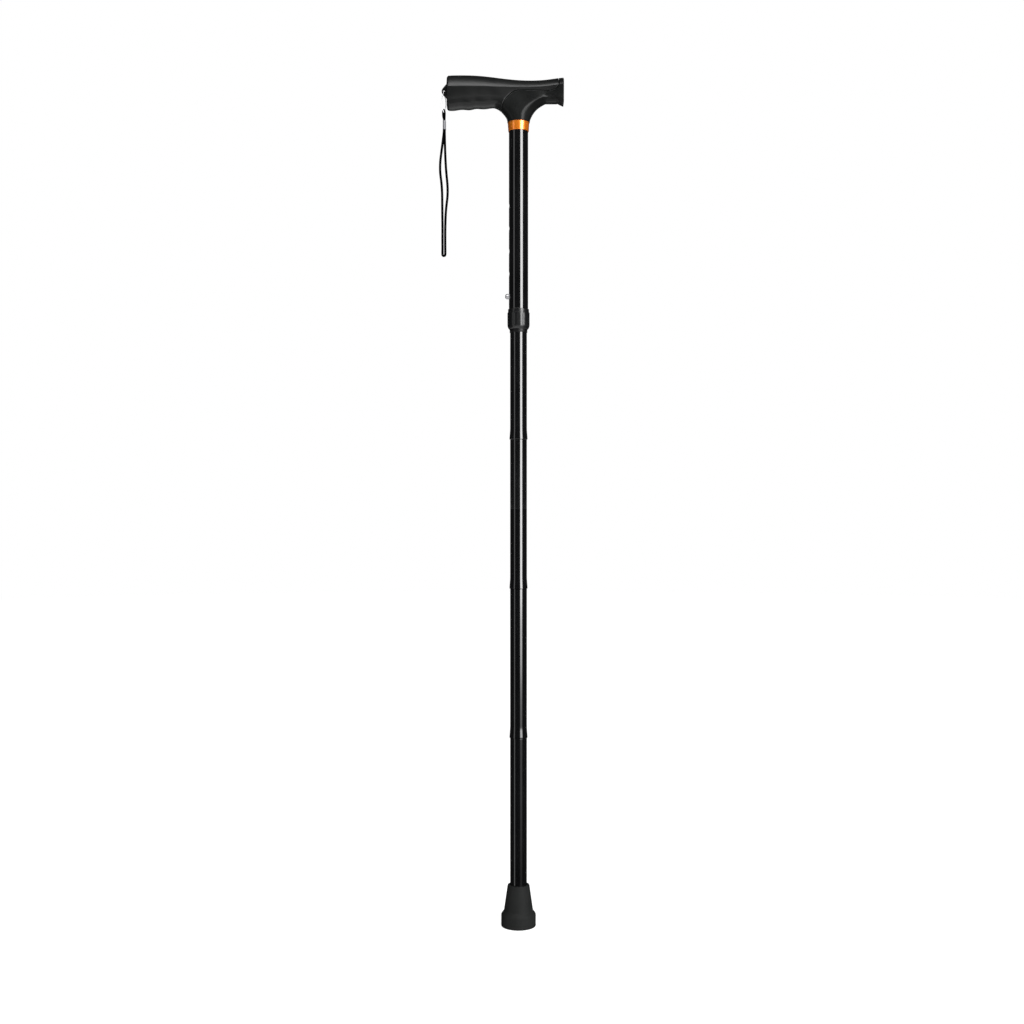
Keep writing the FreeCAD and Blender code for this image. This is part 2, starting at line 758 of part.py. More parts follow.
def strap_eye():
    """The strap's folded end above the crimp, with room in its top for the thread."""
    outline = [V(x, -STRAP_R, z) for x, z in EYE_OUTLINE]
    face = Part.Face(Part.makePolygon(outline + outline[:1]))
    eye = face.extrude(V(0, 2 * STRAP_R, 0))
    left, right = EYE_GAP_X
    low, high = EYE_GAP_Z
    return eye.cut(Part.makeBox(right - left, 4 * STRAP_R, high - low, V(left, -2 * STRAP_R, low)))


def all_nodes():
    core, cover = handle_pieces()
    return {
        "rubber_tip": rubber_tip(),
        "tip_washer": tip_washer(),
        "section_4_tube": plain_section(SOLE_RUBBER + WASHER_THICK, JOINT_4),
        "section_4_spigot": spigot(JOINT_4),
        "cord_bottom_plug": holed_plug(BOTTOM_PLUG_LOW, BOTTOM_PLUG_HIGH, CORD_HOLE_R),
        "section_3_tube": belled_section(JOINT_4, JOINT_3),
        "section_3_spigot": spigot(JOINT_3),
        "section_2_tube": belled_section(JOINT_3, JOINT_2),
        "section_2_spigot": spigot(JOINT_2),
        "section_1_tube": section_1_tube(),
        "cord_top_plug": holed_plug(TOP_PLUG_LOW, TOP_PLUG_HIGH, CORD_HOLE_R),
        "cord_top_washer": cord_top_washer(),
        "elastic_cord": elastic_cord(),
        "top_glide_plug": top_glide_plug(),
        "snap_button_clip": snap_button_clip(),
        "upper_tube": upper_tube(),
        "lock_body": lock_body(),
        "lock_collet": lock_collet(),
        "lock_ring": lock_ring(),
        "collar_ring": collar_ring(),
        "tube_top_plug": tube_top_plug(),
        "handle_screw": handle_screw(),
        "handle_core": core,
        "grip_cover": cover,
        "strap_thread": cord_tube("strap_thread", THREAD_ROUTE, THREAD_R),
        "strap_eye": strap_eye(),
        "strap_crimp": strap_crimp(),
        "strap_cord": cord_tube("strap_cord", STRAP_ROUTE, STRAP_R),
    }


def main():
    os.makedirs("parts", exist_ok=True)
    for name, shape in all_nodes().items():
        shape.exportStep(f"parts/{name}.step")
        solids = len(shape.Solids)
        print(f"{name}: solids {solids}, valid {shape.isValid()}, volume {shape.Volume:.1f}")


main()
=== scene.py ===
import json
import math

import bmesh
import bpy
import numpy as np
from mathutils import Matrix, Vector

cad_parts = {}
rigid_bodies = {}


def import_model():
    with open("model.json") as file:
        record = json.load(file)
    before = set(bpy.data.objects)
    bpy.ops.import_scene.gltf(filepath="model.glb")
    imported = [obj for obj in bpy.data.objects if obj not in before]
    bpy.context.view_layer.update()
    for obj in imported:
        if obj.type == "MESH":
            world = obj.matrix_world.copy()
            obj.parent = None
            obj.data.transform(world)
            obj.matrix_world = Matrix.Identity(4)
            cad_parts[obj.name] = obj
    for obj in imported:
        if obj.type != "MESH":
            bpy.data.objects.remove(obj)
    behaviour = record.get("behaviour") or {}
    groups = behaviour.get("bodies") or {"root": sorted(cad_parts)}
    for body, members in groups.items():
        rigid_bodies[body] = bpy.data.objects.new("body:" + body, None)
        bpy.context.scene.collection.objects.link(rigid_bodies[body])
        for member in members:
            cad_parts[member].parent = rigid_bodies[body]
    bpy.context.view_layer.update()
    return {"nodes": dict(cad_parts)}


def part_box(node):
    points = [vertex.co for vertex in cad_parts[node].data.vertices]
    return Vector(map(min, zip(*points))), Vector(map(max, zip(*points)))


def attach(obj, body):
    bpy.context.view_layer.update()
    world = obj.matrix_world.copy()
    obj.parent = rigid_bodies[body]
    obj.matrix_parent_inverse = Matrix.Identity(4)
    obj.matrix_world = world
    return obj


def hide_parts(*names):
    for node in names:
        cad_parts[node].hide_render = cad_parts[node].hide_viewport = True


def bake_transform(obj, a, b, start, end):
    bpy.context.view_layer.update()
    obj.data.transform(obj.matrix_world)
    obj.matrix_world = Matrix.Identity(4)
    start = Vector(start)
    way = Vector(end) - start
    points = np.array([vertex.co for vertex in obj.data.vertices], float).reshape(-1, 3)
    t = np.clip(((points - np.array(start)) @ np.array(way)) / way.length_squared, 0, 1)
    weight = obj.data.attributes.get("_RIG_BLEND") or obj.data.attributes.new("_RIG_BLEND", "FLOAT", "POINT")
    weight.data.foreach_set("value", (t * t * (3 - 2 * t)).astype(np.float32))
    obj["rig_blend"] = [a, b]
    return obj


# A folding, height-adjustable single point cane. Lengths are in metres, except in the handle's section,
# which works in millimetres. +Z runs up the shaft and +X points to the handle's nose, as in the CAD frame.

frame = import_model()
MM = 0.001


# Small helpers

def link(obj):
    bpy.context.scene.collection.objects.link(obj)
    return obj


def mesh_object(name, points, faces):
    mesh = bpy.data.meshes.new(name)
    mesh.from_pydata([tuple(p) for p in points], [], [tuple(f) for f in faces])
    mesh.validate()
    mesh.shade_smooth()
    return link(bpy.data.objects.new(name, mesh))


def tidy_normals(obj, angle=50):
    """Outward faces, sharp edges above that angle, and normals weighted by face area."""
    work = bmesh.new()
    work.from_mesh(obj.data)
    bmesh.ops.remove_doubles(work, verts=work.verts, dist=1e-7)
    bmesh.ops.recalc_face_normals(work, faces=work.faces)
    work.to_mesh(obj.data)
    work.free()
    obj.data.shade_smooth()
    obj.data.set_sharp_from_angle(angle=math.radians(angle))
    weighted = obj.modifiers.new("weighted_normals", "WEIGHTED_NORMAL")
    weighted.keep_sharp = True
    return obj


def round_node(name):
    """A round CAD node's outer radius, bottom and top."""
    low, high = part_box(name)
    return high.y, low.z, high.z


def finish_piece(obj, body, slot_name, material, *nodes):
    """Gives the piece its material and body, and hides the CAD nodes that it stands for. Its slot_name is not
    used.
    """
    obj.data.materials.clear()
    obj.data.materials.append(material)
    if obj.parent is None and "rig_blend" not in obj:
        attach(obj, body)
    if nodes:
        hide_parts(*nodes)
    return obj


# Camera: at the middle of the cane's height, far enough back to see it whole

def make_camera():
    data = bpy.data.cameras.new("camera")
    data.sensor_width = 36.0
    data.lens = 45.1
    camera = link(bpy.data.objects.new("camera", data))
    camera.location = (-0.0073, -1.437, 0.463)
    camera.rotation_euler = (math.radians(90), 0, 0)
    bpy.context.scene.camera = camera


make_camera()


# Wrist strap routes, the same points as the CAD's, in metres

THREAD_ROUTE = [
    (-0.0837, -0.00015, 0.9106),
    (-0.0839, -0.0022, 0.9109),
    (-0.0856, -0.0026, 0.9146),
    (-0.0864, -0.0031, 0.9196),
    (-0.0856, -0.0035, 0.9260),
    (-0.0842, -0.0036, 0.9302),
    (-0.0837, -0.0033, 0.9338),
    (-0.0835, 0.0033, 0.9337),
    (-0.0830, 0.0036, 0.9302),
    (-0.0819, 0.0035, 0.9260),
    (-0.0816, 0.0031, 0.9196),
    (-0.0822, 0.0026, 0.9146),
    (-0.0835, 0.0022, 0.9109),
    (-0.0837, 0.00015, 0.9106),
]

STRAP_ROUTE = [
    (-0.0830, -0.00145, 0.9008),
    (-0.0831, -0.00147, 0.8906),
    (-0.0854, -0.0011, 0.8730),
    (-0.0886, -0.0003, 0.8485),
    (-0.0856, 0.0003, 0.8270),
    (-0.0854, 0.0001, 0.8030),
    (-0.0851, 0.0, 0.7810),
    (-0.0852, 0.0, 0.7670),
    (-0.0851, 0.0, 0.7585),
    (-0.0852, 0.0, 0.7536),
    (-0.0851, 0.0, 0.7499),
    (-0.0820, 0.0, 0.7499),
    (-0.0820, 0.0, 0.7550),
    (-0.0821, 0.0, 0.7640),
    (-0.0821, 0.0, 0.7800),
    (-0.0816, 0.0001, 0.8000),
    (-0.0787, 0.0002, 0.8220),
    (-0.0814, 0.0006, 0.8470),
    (-0.0824, 0.0011, 0.8710),
    (-0.0829, 0.00147, 0.8906),
    (-0.0830, 0.00145, 0.9008),
]

STRAP_R = 1.35 * MM
THREAD_R = 0.45 * MM


def nurbs_curve(name, route):
    data = bpy.data.curves.new(name, "CURVE")
    data.dimensions = "3D"
    spline = data.splines.new("NURBS")
    spline.points.add(len(route) - 1)
    for point, place in zip(spline.points, route):
        point.co = (*place, 1)
    spline.order_u = 3
    spline.use_endpoint_u = True
    data.resolution_u = 12
    return data


def line_points(name, route):
    """Points read from the route's NURBS spline."""
    holder = link(bpy.data.objects.new(name + "_line", nurbs_curve(name + "_line", route)))
    bpy.context.view_layer.update()
    mesh = bpy.data.meshes.new_from_object(holder)
    points = [v.co.copy() for v in mesh.vertices]
    bpy.data.objects.remove(holder)
    bpy.data.meshes.remove(mesh)
    return points


def length_of(points):
    return sum((b - a).length for a, b in zip(points, points[1:]))


def tube_mesh(name, points, radius_at, sides=20):
    """A closed tube along the points, with U round it and V along it in radii."""
    work = bmesh.new()
    uv = work.loops.layers.uv.new("UVMap")
    side = Vector((0, 1, 0))
    rings = []
    along = 0.0
    travelled = []
    for i, point in enumerate(points):
        ahead = points[min(i + 1, len(points) - 1)]
        behind = points[max(i - 1, 0)]
        direction = (ahead - behind).normalized()
        side = (side - direction * side.dot(direction)).normalized()
        up = direction.cross(side)
        if i:
            along += (point - points[i - 1]).length
        travelled.append(along)
        radius = radius_at(along)
        ring = []
        for k in range(sides):
            angle = 2 * math.pi * k / sides
            ring.append(work.verts.new(point + (side * math.cos(angle) + up * math.sin(angle)) * radius))
        rings.append(ring)
    for i, (low, high) in enumerate(zip(rings, rings[1:])):
        for k in range(sides):
            n = (k + 1) % sides
            face = work.faces.new((low[k], low[n], high[n], high[k]))
            us = (k, k + 1, k + 1, k)
            vs = (travelled[i], travelled[i], travelled[i + 1], travelled[i + 1])
            for loop, u, v in zip(face.loops, us, vs):
                loop[uv].uv = (u / sides, v / STRAP_R)
    work.faces.new(list(reversed(rings[0])))
    work.faces.new(rings[-1])
    bmesh.ops.recalc_face_normals(work, faces=work.faces)
    mesh = bpy.data.meshes.new(name)
    work.to_mesh(mesh)
    work.free()
    mesh.shade_smooth()
    return link(bpy.data.objects.new(name, mesh))


# Materials

class Nodes:
    """Short ways to add shader nodes to one material."""

    def __init__(self, name):
        self.material = bpy.data.materials.new(name)
        self.material.use_nodes = True
        self.tree = self.material.node_tree
        self.shader = self.tree.nodes["Principled BSDF"]
        self.place = self.tree.nodes.new("ShaderNodeTexCoord")

    def set(self, **values):
        for key, value in values.items():
            self.shader.inputs[key.replace("_", " ")].default_value = value

    def link(self, source, target):
        self.tree.links.new(source, target)

    def noise(self, scale, detail=3.0, roughness=0.5, stretch=None):
        node = self.tree.nodes.new("ShaderNodeTexNoise")
        node.inputs["Scale"].default_value = scale
        node.inputs["Detail"].default_value = detail
        node.inputs["Roughness"].default_value = roughness
        if stretch is None:
            self.link(self.place.outputs["Object"], node.inputs["Vector"])
            return node.outputs["Fac"]
        mapping = self.tree.nodes.new("ShaderNodeMapping")
        mapping.inputs["Scale"].default_value = stretch
        self.link(self.place.outputs["Object"], mapping.inputs["Vector"])
        self.link(mapping.outputs["Vector"], node.inputs["Vector"])
        return node.outputs["Fac"]

    def cells(self, scale):
        node = self.tree.nodes.new("ShaderNodeTexVoronoi")
        node.inputs["Scale"].default_value = scale
        self.link(self.place.outputs["Object"], node.inputs["Vector"])
        return node.outputs["Distance"]

    def spread(self, source, low, high, start=0.3, end=0.7):
        """The source's range from start to end, drawn out to low to high."""
        node = self.tree.nodes.new("ShaderNodeMapRange")
        node.inputs["From Min"].default_value = start
        node.inputs["From Max"].default_value = end
        node.inputs["To Min"].default_value = low
        node.inputs["To Max"].default_value = high
        self.link(source, node.inputs["Value"])
        return node.outputs["Result"]

    def math(self, operation, a, b=0.0):
        node = self.tree.nodes.new("ShaderNodeMath")
        node.operation = operation
        for socket, value in zip(node.inputs, (a, b)):
            if isinstance(value, (int, float)):
                socket.default_value = value
            else:
                self.link(value, socket)
        return node.outputs["Value"]

    def colours(self, source, first, second, start=0.3, end=0.7):
        node = self.tree.nodes.new("ShaderNodeMix")
        node.data_type = "RGBA"
        node.inputs["A"].default_value = (*first, 1)
        node.inputs["B"].default_value = (*second, 1)
        self.link(self.spread(source, 0, 1, start, end), node.inputs["Factor"])
        return node.outputs["Result"]

    def bump(self, height, strength, distance, under=None):
        node = self.tree.nodes.new("ShaderNodeBump")
        node.inputs["Strength"].default_value = strength
        node.inputs["Distance"].default_value = distance
        self.link(height, node.inputs["Height"])
        if under is not None:
            self.link(under, node.inputs["Normal"])
        return node.outputs["Normal"]

    def connect(self, **sockets):
        for key, source in sockets.items():
            self.link(source, self.shader.inputs[key.replace("_", " ")])
        return self.material


def gloss_black():
    """Black powder-coated tube under a clear gloss: faint orange peel, dust and fine rub marks."""
    n = Nodes("gloss_black")
    n.set(IOR=1.5, Specular_IOR_Level=0.12, Coat_Weight=1.0, Coat_Roughness=0.03, Coat_IOR=1.75)
    patches = n.noise(24, 4)
    colour = n.colours(patches, (0.0012, 0.0012, 0.0014), (0.0024, 0.0024, 0.0027))
    rubs = n.noise(900, 2, 0.6, stretch=(1, 1, 0.03))
    rough = n.math("ADD", n.spread(patches, 0.20, 0.30), n.spread(rubs, 0, 0.07, 0.55, 0.75))
    peel = n.bump(n.noise(420, 2), 0.003, 0.00002)
    return n.connect(Base_Color=colour, Roughness=rough, Normal=peel, Coat_Normal=peel)


def soft_rubber():
    """Charcoal soft-touch rubber: matte, with a very fine grain and palms' slight polish."""
    n = Nodes("soft_rubber")
    n.set(IOR=1.45, Specular_IOR_Level=0.42)
    worn = n.noise(38, 4)
    colour = n.colours(worn, (0.0041, 0.0044, 0.0043), (0.0057, 0.0060, 0.0058))
    rough = n.spread(worn, 0.30, 0.37)
    coarse = n.bump(n.cells(2600), 0.10, 0.00005)
    grain = n.bump(n.noise(5200, 3, 0.6), 0.12, 0.00005, coarse)
    return n.connect(Base_Color=colour, Roughness=rough, Normal=grain)


def moulded_nylon(name, shade, rough_low, rough_high, shine=0.5, coat=0.0):
    """Black moulded plastic with flow marks and handling marks."""
    n = Nodes(name)
    n.set(IOR=1.5, Specular_IOR_Level=shine, Coat_Weight=coat, Coat_Roughness=0.10)
    flow = n.noise(60, 5, 0.55)
    colour = n.colours(flow, tuple(0.85 * c for c in shade), tuple(1.15 * c for c in shade))
    fine = n.noise(2400, 3)
    rough = n.math("ADD", n.spread(flow, rough_low, rough_high), n.spread(fine, 0, 0.05, 0.5, 0.8))
    surface = n.bump(n.noise(1500, 3), 0.05, 0.00004)
    return n.connect(Base_Color=colour, Roughness=rough, Normal=surface)


def gold_anodised():
    """Turned and anodised aluminium in orange gold, with fine lathe lines round it."""
    n = Nodes("gold_anodised")
    n.set(Metallic=0.72, IOR=1.6, Coat_Weight=0.9, Coat_IOR=1.8, Coat_Roughness=0.2)
    tone = n.noise(70, 3)
    colour = n.colours(tone, (0.98, 0.22, 0.007), (1.0, 0.275, 0.011))
    lines = n.noise(1.0, 2, 0.7, stretch=(60, 60, 9000))
    rough = n.spread(lines, 0.24, 0.32)
    turned = n.bump(lines, 0.05, 0.00002)
    return n.connect(Base_Color=colour, Roughness=rough, Normal=turned)


def metal(name, shade, rough_low, rough_high, scale=1500, stretch=None, bare=1.0):
    """Bare or plated metal with drawing or handling marks."""
    n = Nodes(name)
    n.set(Metallic=bare)
    marks = n.noise(scale, 3, 0.6, stretch=stretch)
    colour = n.colours(n.noise(90, 3), tuple(0.88 * c for c in shade), shade)
    return n.connect(
        Base_Color=colour,
        Roughness=n.spread(marks, rough_low, rough_high),
        Normal=n.bump(marks, 0.08, 0.00003),
    )


def tip_rubber():
    """Dark grey vulcanised rubber: matte, grainy and a little dusty."""
    n = Nodes("tip_rubber")
    n.set(IOR=1.45, Specular_IOR_Level=0.15)
    dust = n.noise(55, 5, 0.6)
    colour = n.colours(dust, (0.0122, 0.0129, 0.0126), (0.0156, 0.0164, 0.0160))
    grain = n.noise(2600, 4, 0.7)
    rough = n.spread(dust, 0.55, 0.70)
    surface = n.bump(grain, 0.35, 0.00008)
    return n.connect(Base_Color=colour, Roughness=rough, Normal=surface)


def braided(name, dark, light, strands, pitch, sheen, shine):
    """A round braid of strands that cross over and under, read from U round and V along a cord; its colour is
    darker in the grooves between strands, which is painted shade.
    """
    n = Nodes(name)
    n.set(Sheen_Weight=sheen, Sheen_Roughness=0.4, IOR=1.0 + 0.9 * shine)
    split = n.tree.nodes.new("ShaderNodeSeparateXYZ")
    n.link(n.place.outputs["UV"], split.inputs["Vector"])
    around = n.math("MULTIPLY", split.outputs["X"], strands)
    along = n.math("MULTIPLY", split.outputs["Y"], 1 / pitch)
    right = n.math("ADD", around, along)
    left = n.math("SUBTRACT", around, along)
    ridge_right = n.math("ABSOLUTE", n.math("SINE", n.math("MULTIPLY", right, math.pi)))
    ridge_left = n.math("ABSOLUTE", n.math("SINE", n.math("MULTIPLY", left, math.pi)))
    cell = n.math("ADD", n.math("FLOOR", right), n.math("FLOOR", left))
    over = n.math("ABSOLUTE", n.math("MODULO", cell, 2.0))
    first = n.math("MULTIPLY", ridge_right, over)
    second = n.math("MULTIPLY", ridge_left, n.math("SUBTRACT", 1.0, over))
    height = n.math("POWER", n.math("ADD", first, second), 0.6)
    # Painted shade: colour runs from the first colour in the braid's grooves to the second on its strand
    # tops.
    colour = n.colours(height, dark, light, 0.1, 1.0)
    fibres = n.bump(n.noise(9000, 2), 0.10, 0.00003)
    weave = n.bump(height, 0.25, 0.00012, fibres)
    rough = n.spread(height, 0.95, 0.8, 0.0, 1.0)
    return n.connect(Base_Color=colour, Roughness=rough, Normal=weave)


def pale_thread():
    """Twisted pale thread."""
    n = Nodes("pale_thread")
    n.set(IOR=1.5, Sheen_Weight=0.2)
    twist = n.noise(1.0, 2, 0.5, stretch=(2500, 2500, 700))
    colour = n.colours(twist, (0.60, 0.61, 0.63), (0.80, 0.81, 0.82))
    rough = n.spread(twist, 0.4, 0.6)
    surface = n.bump(twist, 0.3, 0.00005)
    return n.connect(Base_Color=colour, Roughness=rough, Normal=surface)


black = gloss_black()
cover_rubber = soft_rubber()
core_plastic = moulded_nylon("core_plastic", (0.0050, 0.0054, 0.0052), 0.27, 0.32, 0.15)
collet_plastic = moulded_nylon("collet_plastic", (0.0022, 0.0022, 0.0024), 0.35, 0.42, 0.3)
lock_plastic = moulded_nylon("lock_plastic", (0.0028, 0.0030, 0.0033), 0.30, 0.36, 0.5, 0.34)
inner_plastic = moulded_nylon("inner_plastic", (0.10, 0.10, 0.10), 0.40, 0.50)
gold = gold_anodised()
drawn_metal = metal("drawn_aluminium", (0.78, 0.78, 0.80), 0.18, 0.32, 1.0, (900, 900, 25))
steel = metal("bright_steel", (0.56, 0.56, 0.58), 0.38, 0.46, bare=0.9)
crimp_metal = metal("pressed_metal", (0.15, 0.15, 0.16), 0.42, 0.55, bare=0.25)
rubber = tip_rubber()
# Each braid's first colour is painted shade for its grooves, its second the colour of its strand tops.
strap_braid = braided("strap_braid", (0.0004, 0.0004, 0.0005), (0.0009, 0.0009, 0.0011), 8, 1.3, 0.0, 0.08)
cord_braid = braided("shock_cord", (0.05, 0.05, 0.055), (0.16, 0.16, 0.17), 12, 2.0, 0.3, 0.5)
thread_look = pale_thread()


# Strap: thread loop, folded eye, crimp and cord


def strap_thread():
    points = line_points("thread", THREAD_ROUTE)
    obj = tube_mesh("thread_loop", points, lambda s: THREAD_R, 10)
    finish_piece(obj, "strap", "thread_fabric", thread_look, "strap_thread")


def strap_eye():
    """The cord's doubled end above the crimp: two legs rise side by side and fold over the thread."""
    low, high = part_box("strap_eye")
    middle = (low.x + high.x) / 2
    route = [
        (0.45, -1.4, -0.4), (0.20, -1.4, 1.6), (-0.50, -1.0, 4.0), (-0.88, -0.3, 6.6), (-0.92, 0.0, 9.2),
        (-0.85, 0.0, 12.7), (0.50, 0.0, 11.9),
        (0.88, 0.0, 9.0), (0.80, 0.3, 6.4), (0.62, 1.0, 3.8), (0.50, 1.4, 1.6), (0.45, 1.4, -0.4),
    ]
    points = line_points("eye", [(middle + x * MM, y * MM, low.z + z * MM) for x, y, z in route])
    whole = length_of(points)

    leg_radius, squeeze = 1.32 * MM, 0.17 * MM

    def radius_at(along):
        share = min(along, whole - along) / (whole / 2)
        return leg_radius - squeeze * share

    obj = tube_mesh("cord_eye", points, radius_at)
    return finish_piece(obj, "strap", "strap_fabric", strap_braid, "strap_eye")


def stadium_ring(half_x, half_y, height, middle, count=40):
    """Points of an upright outline with straight sides and half-round ends along Y."""
    straight = half_y - half_x
    ring = []
    for k in range(count):
        angle = 2 * math.pi * k / count
        y = half_x * math.sin(angle) + math.copysign(straight, math.sin(angle))
        ring.append((middle + half_x * math.cos(angle), y, height))
    return ring


def strap_crimp():
    """A pressed metal sleeve: its lips flare and two press marks cross it."""
    low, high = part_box("strap_crimp")
    middle = (low.x + high.x) / 2
    half_x, half_y = (high.x - low.x) / 2, high.y
    wall = 0.22 * MM
    flare, flare_share = 0.20 * MM, 0.06
    press, press_share = 0.12 * MM, 0.045
    rows = []
    steps = 36
    for i in range(steps + 1):
        share = i / steps
        height = low.z + (high.z - low.z) * share
        lip = sum(max(0.0, 1 - away / flare_share) ** 2 for away in (share, 1 - share))
        marks = sum(math.exp(-(((share - at) / press_share) ** 2)) for at in (0.3, 0.7))
        inset = flare * lip + press * marks
        rows.append(stadium_ring(half_x - inset, half_y - inset, height, middle))
    for i in range(steps, -1, -1):
        height = low.z + (high.z - low.z) * i / steps
        rows.append(stadium_ring(half_x - wall, half_y - wall, height, middle))
    count = len(rows[0])
    faces = []
    for i in range(len(rows)):
        j = (i + 1) % len(rows)
        for k in range(count):
            n = (k + 1) % count
            faces.append((i * count + k, i * count + n, j * count + n, j * count + k))
    obj = mesh_object("crimp_sleeve", [p for row in rows for p in row], faces)
    tidy_normals(obj)
    return finish_piece(obj, "strap", "crimp_metal", crimp_metal, "strap_crimp")


def strap_cord(eye, crimp):
    points = line_points("strap", STRAP_ROUTE)
    obj = tube_mesh("wrist_cord", points, lambda s: STRAP_R)
    finish_piece(obj, "strap", "strap_fabric", strap_braid, "strap_cord")


strap_thread()
strap_cord(strap_eye(), strap_crimp())


# Round pieces

def outline(corners, steps=6):
    """A closed outline from (radius, height, rounding) corners, with the roundings as curves."""
    points = []
    for i, (r, z, rounding) in enumerate(corners):
        here = Vector((r, z))
        if not rounding:
            points.append(here)
            continue
        before = Vector(corners[i - 1][:2])
        after = Vector(corners[(i + 1) % len(corners)][:2])
        start = here + (before - here).normalized() * rounding
        end = here + (after - here).normalized() * rounding
        for k in range(steps + 1):
            t = k / steps
            points.append(start * (1 - t) ** 2 + here * 2 * t * (1 - t) + end * t**2)
    return points


def revolved(name, corners, sides=128, dent=None, steps=6):
    """A body of revolution about the shaft. dent(radius, height, angle) draws its surface in."""
    ring = outline(corners, steps)
    points = []
    for r, z in ring:
        for k in range(sides):
            angle = 2 * math.pi * k / sides
            here = r - dent(r, z, angle) if dent else r
            points.append((here * math.cos(angle), here * math.sin(angle), z))
    faces = []
    for i in range(len(ring)):
        j = (i + 1) % len(ring)
        for k in range(sides):
            n = (k + 1) % sides
            faces.append((i * sides + k, i * sides + n, j * sides + n, j * sides + k))
    return tidy_normals(mesh_object(name, points, faces))


HOLE_START = 2.0 * MM


def cut_round_holes(obj, places, radius, reach):
    """Cuts round holes into the -X side of a tube at those heights."""
    for height in places:
        bpy.ops.mesh.primitive_cylinder_add(
            vertices=48, radius=radius, depth=reach,
            location=(-reach / 2 - HOLE_START, 0, height), rotation=(0, math.radians(90), 0),
        )
        tool = bpy.context.object
        cut = obj.modifiers.new("hole", "BOOLEAN")
        cut.object = tool
        cut.operation = "DIFFERENCE"
        cut.solver = "EXACT"
        bake_modifiers(obj)
        bpy.data.objects.remove(tool)
    return tidy_normals(obj, 40)


def bake_modifiers(obj):
    """Makes the shape that the modifiers give the object's own mesh."""
    bpy.context.view_layer.update()
    graph = bpy.context.evaluated_depsgraph_get()
    mesh = bpy.data.meshes.new_from_object(obj.evaluated_get(graph))
    obj.modifiers.clear()
    obj.data = mesh


WALL = 1.2 * MM
BUTTON_HEIGHT = 0.7042
HOLE_PITCH = 25.4 * MM
HOLE_R = 3.2 * MM
BUTTON_HOLE_R = 3.1 * MM
HOLE_REACH = 12.0 * MM
HOLES = [BUTTON_HEIGHT + i * HOLE_PITCH for i in range(5)]


def upper_tube():
    radius, bottom, top = round_node("upper_tube")
    tube = revolved("upper_tube_skin", [
        (radius - WALL, bottom, 0), (radius, bottom, 0.2 * MM),
        (radius, top, 0.2 * MM), (radius - WALL, top, 0),
    ])
    cut_round_holes(tube, HOLES, HOLE_R, HOLE_REACH + HOLE_START)
    return finish_piece(tube, "handle_and_upper_tube", "black_tube", black, "upper_tube")


BELL_LENGTH = 11.0 * MM
BELL_MOUTH_R = 8.95 * MM
LOWER_R = 9.35 * MM
LAST_SECTION = 4


def lower_section(number):
    """A shaft section; all but the last are swaged out into a bell at their lower end."""
    node = f"section_{number}_tube"
    outer, bottom, top = round_node(node)
    end = [(LOWER_R, top, 0.5 * MM), (LOWER_R - WALL, top, 0.1 * MM)]
    if number == LAST_SECTION:
        foot = [(LOWER_R - WALL, bottom, 0), (LOWER_R, bottom, 0.2 * MM)]
    else:
        foot = [
            (LOWER_R - WALL, bottom + BELL_LENGTH, 0),
            (BELL_MOUTH_R, bottom, 0.2 * MM),
            (outer, bottom, 0.35 * MM),
            (outer, bottom + 1.3 * MM, 0.6 * MM),
            (LOWER_R, bottom + BELL_LENGTH, 2.6 * MM),
        ]
    tube = revolved(f"section_{number}_skin", foot + end)
    if number == 1:
        cut_round_holes(tube, [BUTTON_HEIGHT], BUTTON_HOLE_R, HOLE_REACH)
    return finish_piece(tube, f"section_{number}", "black_tube", black, node)


FLUTES = 14
TUBE_SEAT_R = 10.78 * MM


def lock_ring():
    """The fluted nut: shallow hollows run up from its tapered lower rim."""
    radius, bottom, top = round_node("lock_ring")
    depth = 0.13 * MM
    inner = 10.05 * MM
    lip = 10.45 * MM
    bore = 11.28 * MM
    taper = 11.65 * MM
    floor = bottom + 1.7 * MM
    half_flute = 0.32

    def dent(r, z, angle):
        if r < taper:
            return 0.0
        turn = (angle / (2 * math.pi) * FLUTES) % 1.0
        away = abs(turn - 0.5) / half_flute
        hollow = max(0.0, 1 - away) ** 2 * (1 + 2 * away)
        fade = min(1.0, max(0.0, (top - 0.9 * MM - z) / (1.2 * MM)))
        low = min(1.0, (r - taper) / (0.8 * MM))
        return depth * hollow * fade * low

    levels = [(radius, bottom + (top - bottom) * s, 0) for s in (0.35, 0.5, 0.65, 0.8, 0.88, 0.92, 0.95)]
    corners = [
        (inner, bottom, 0.1 * MM), (lip, bottom, 0.25 * MM), (taper, floor, 0.6 * MM),
        (radius, bottom + 3.9 * MM, 1.3 * MM), *levels, (radius, top, 0.35 * MM), (bore, top, 0.1 * MM),
        (bore, floor, 0), (inner, floor, 0),
    ]
    ring = revolved("fluted_nut", corners, sides=FLUTES * 16, dent=dent)
    return finish_piece(ring, "lock_ring", "lock_plastic", lock_plastic, "lock_ring")


def lock_body():
    """The lock's sleeve on the upper tube's lower end, with a step ring above its thread."""
    radius, bottom, top = round_node("lock_body")
    thread = 11.2 * MM
    shoulder = 683.0 * MM
    bore = 9.62 * MM
    cone_top = bottom + 4 * MM
    step = top - 4 * MM
    body = revolved("lock_sleeve", [
        (TUBE_SEAT_R, top, 0.1 * MM), (TUBE_SEAT_R, shoulder, 0), (bore, shoulder, 0), (bore, cone_top, 0),
        (thread - 0.7 * MM, bottom, 0), (thread, bottom, 0.1 * MM),
        (thread, step, 0), (radius, step, 0.25 * MM), (radius, top, 0.6 * MM),
    ])
    return finish_piece(body, "handle_and_upper_tube", "lock_plastic", lock_plastic, "lock_body")


def collar_ring():
    """The gold ring under the neck, narrower at its foot."""
    radius, bottom, top = round_node("collar_ring")
    low_radius = 11.4 * MM
    ring = revolved("gold_collar", [
        (TUBE_SEAT_R, bottom, 0.1 * MM), (low_radius, bottom, 0.3 * MM),
        (radius, top, 0.4 * MM), (TUBE_SEAT_R, top, 0.1 * MM),
    ])
    return finish_piece(ring, "handle_and_upper_tube", "gold", gold, "collar_ring")


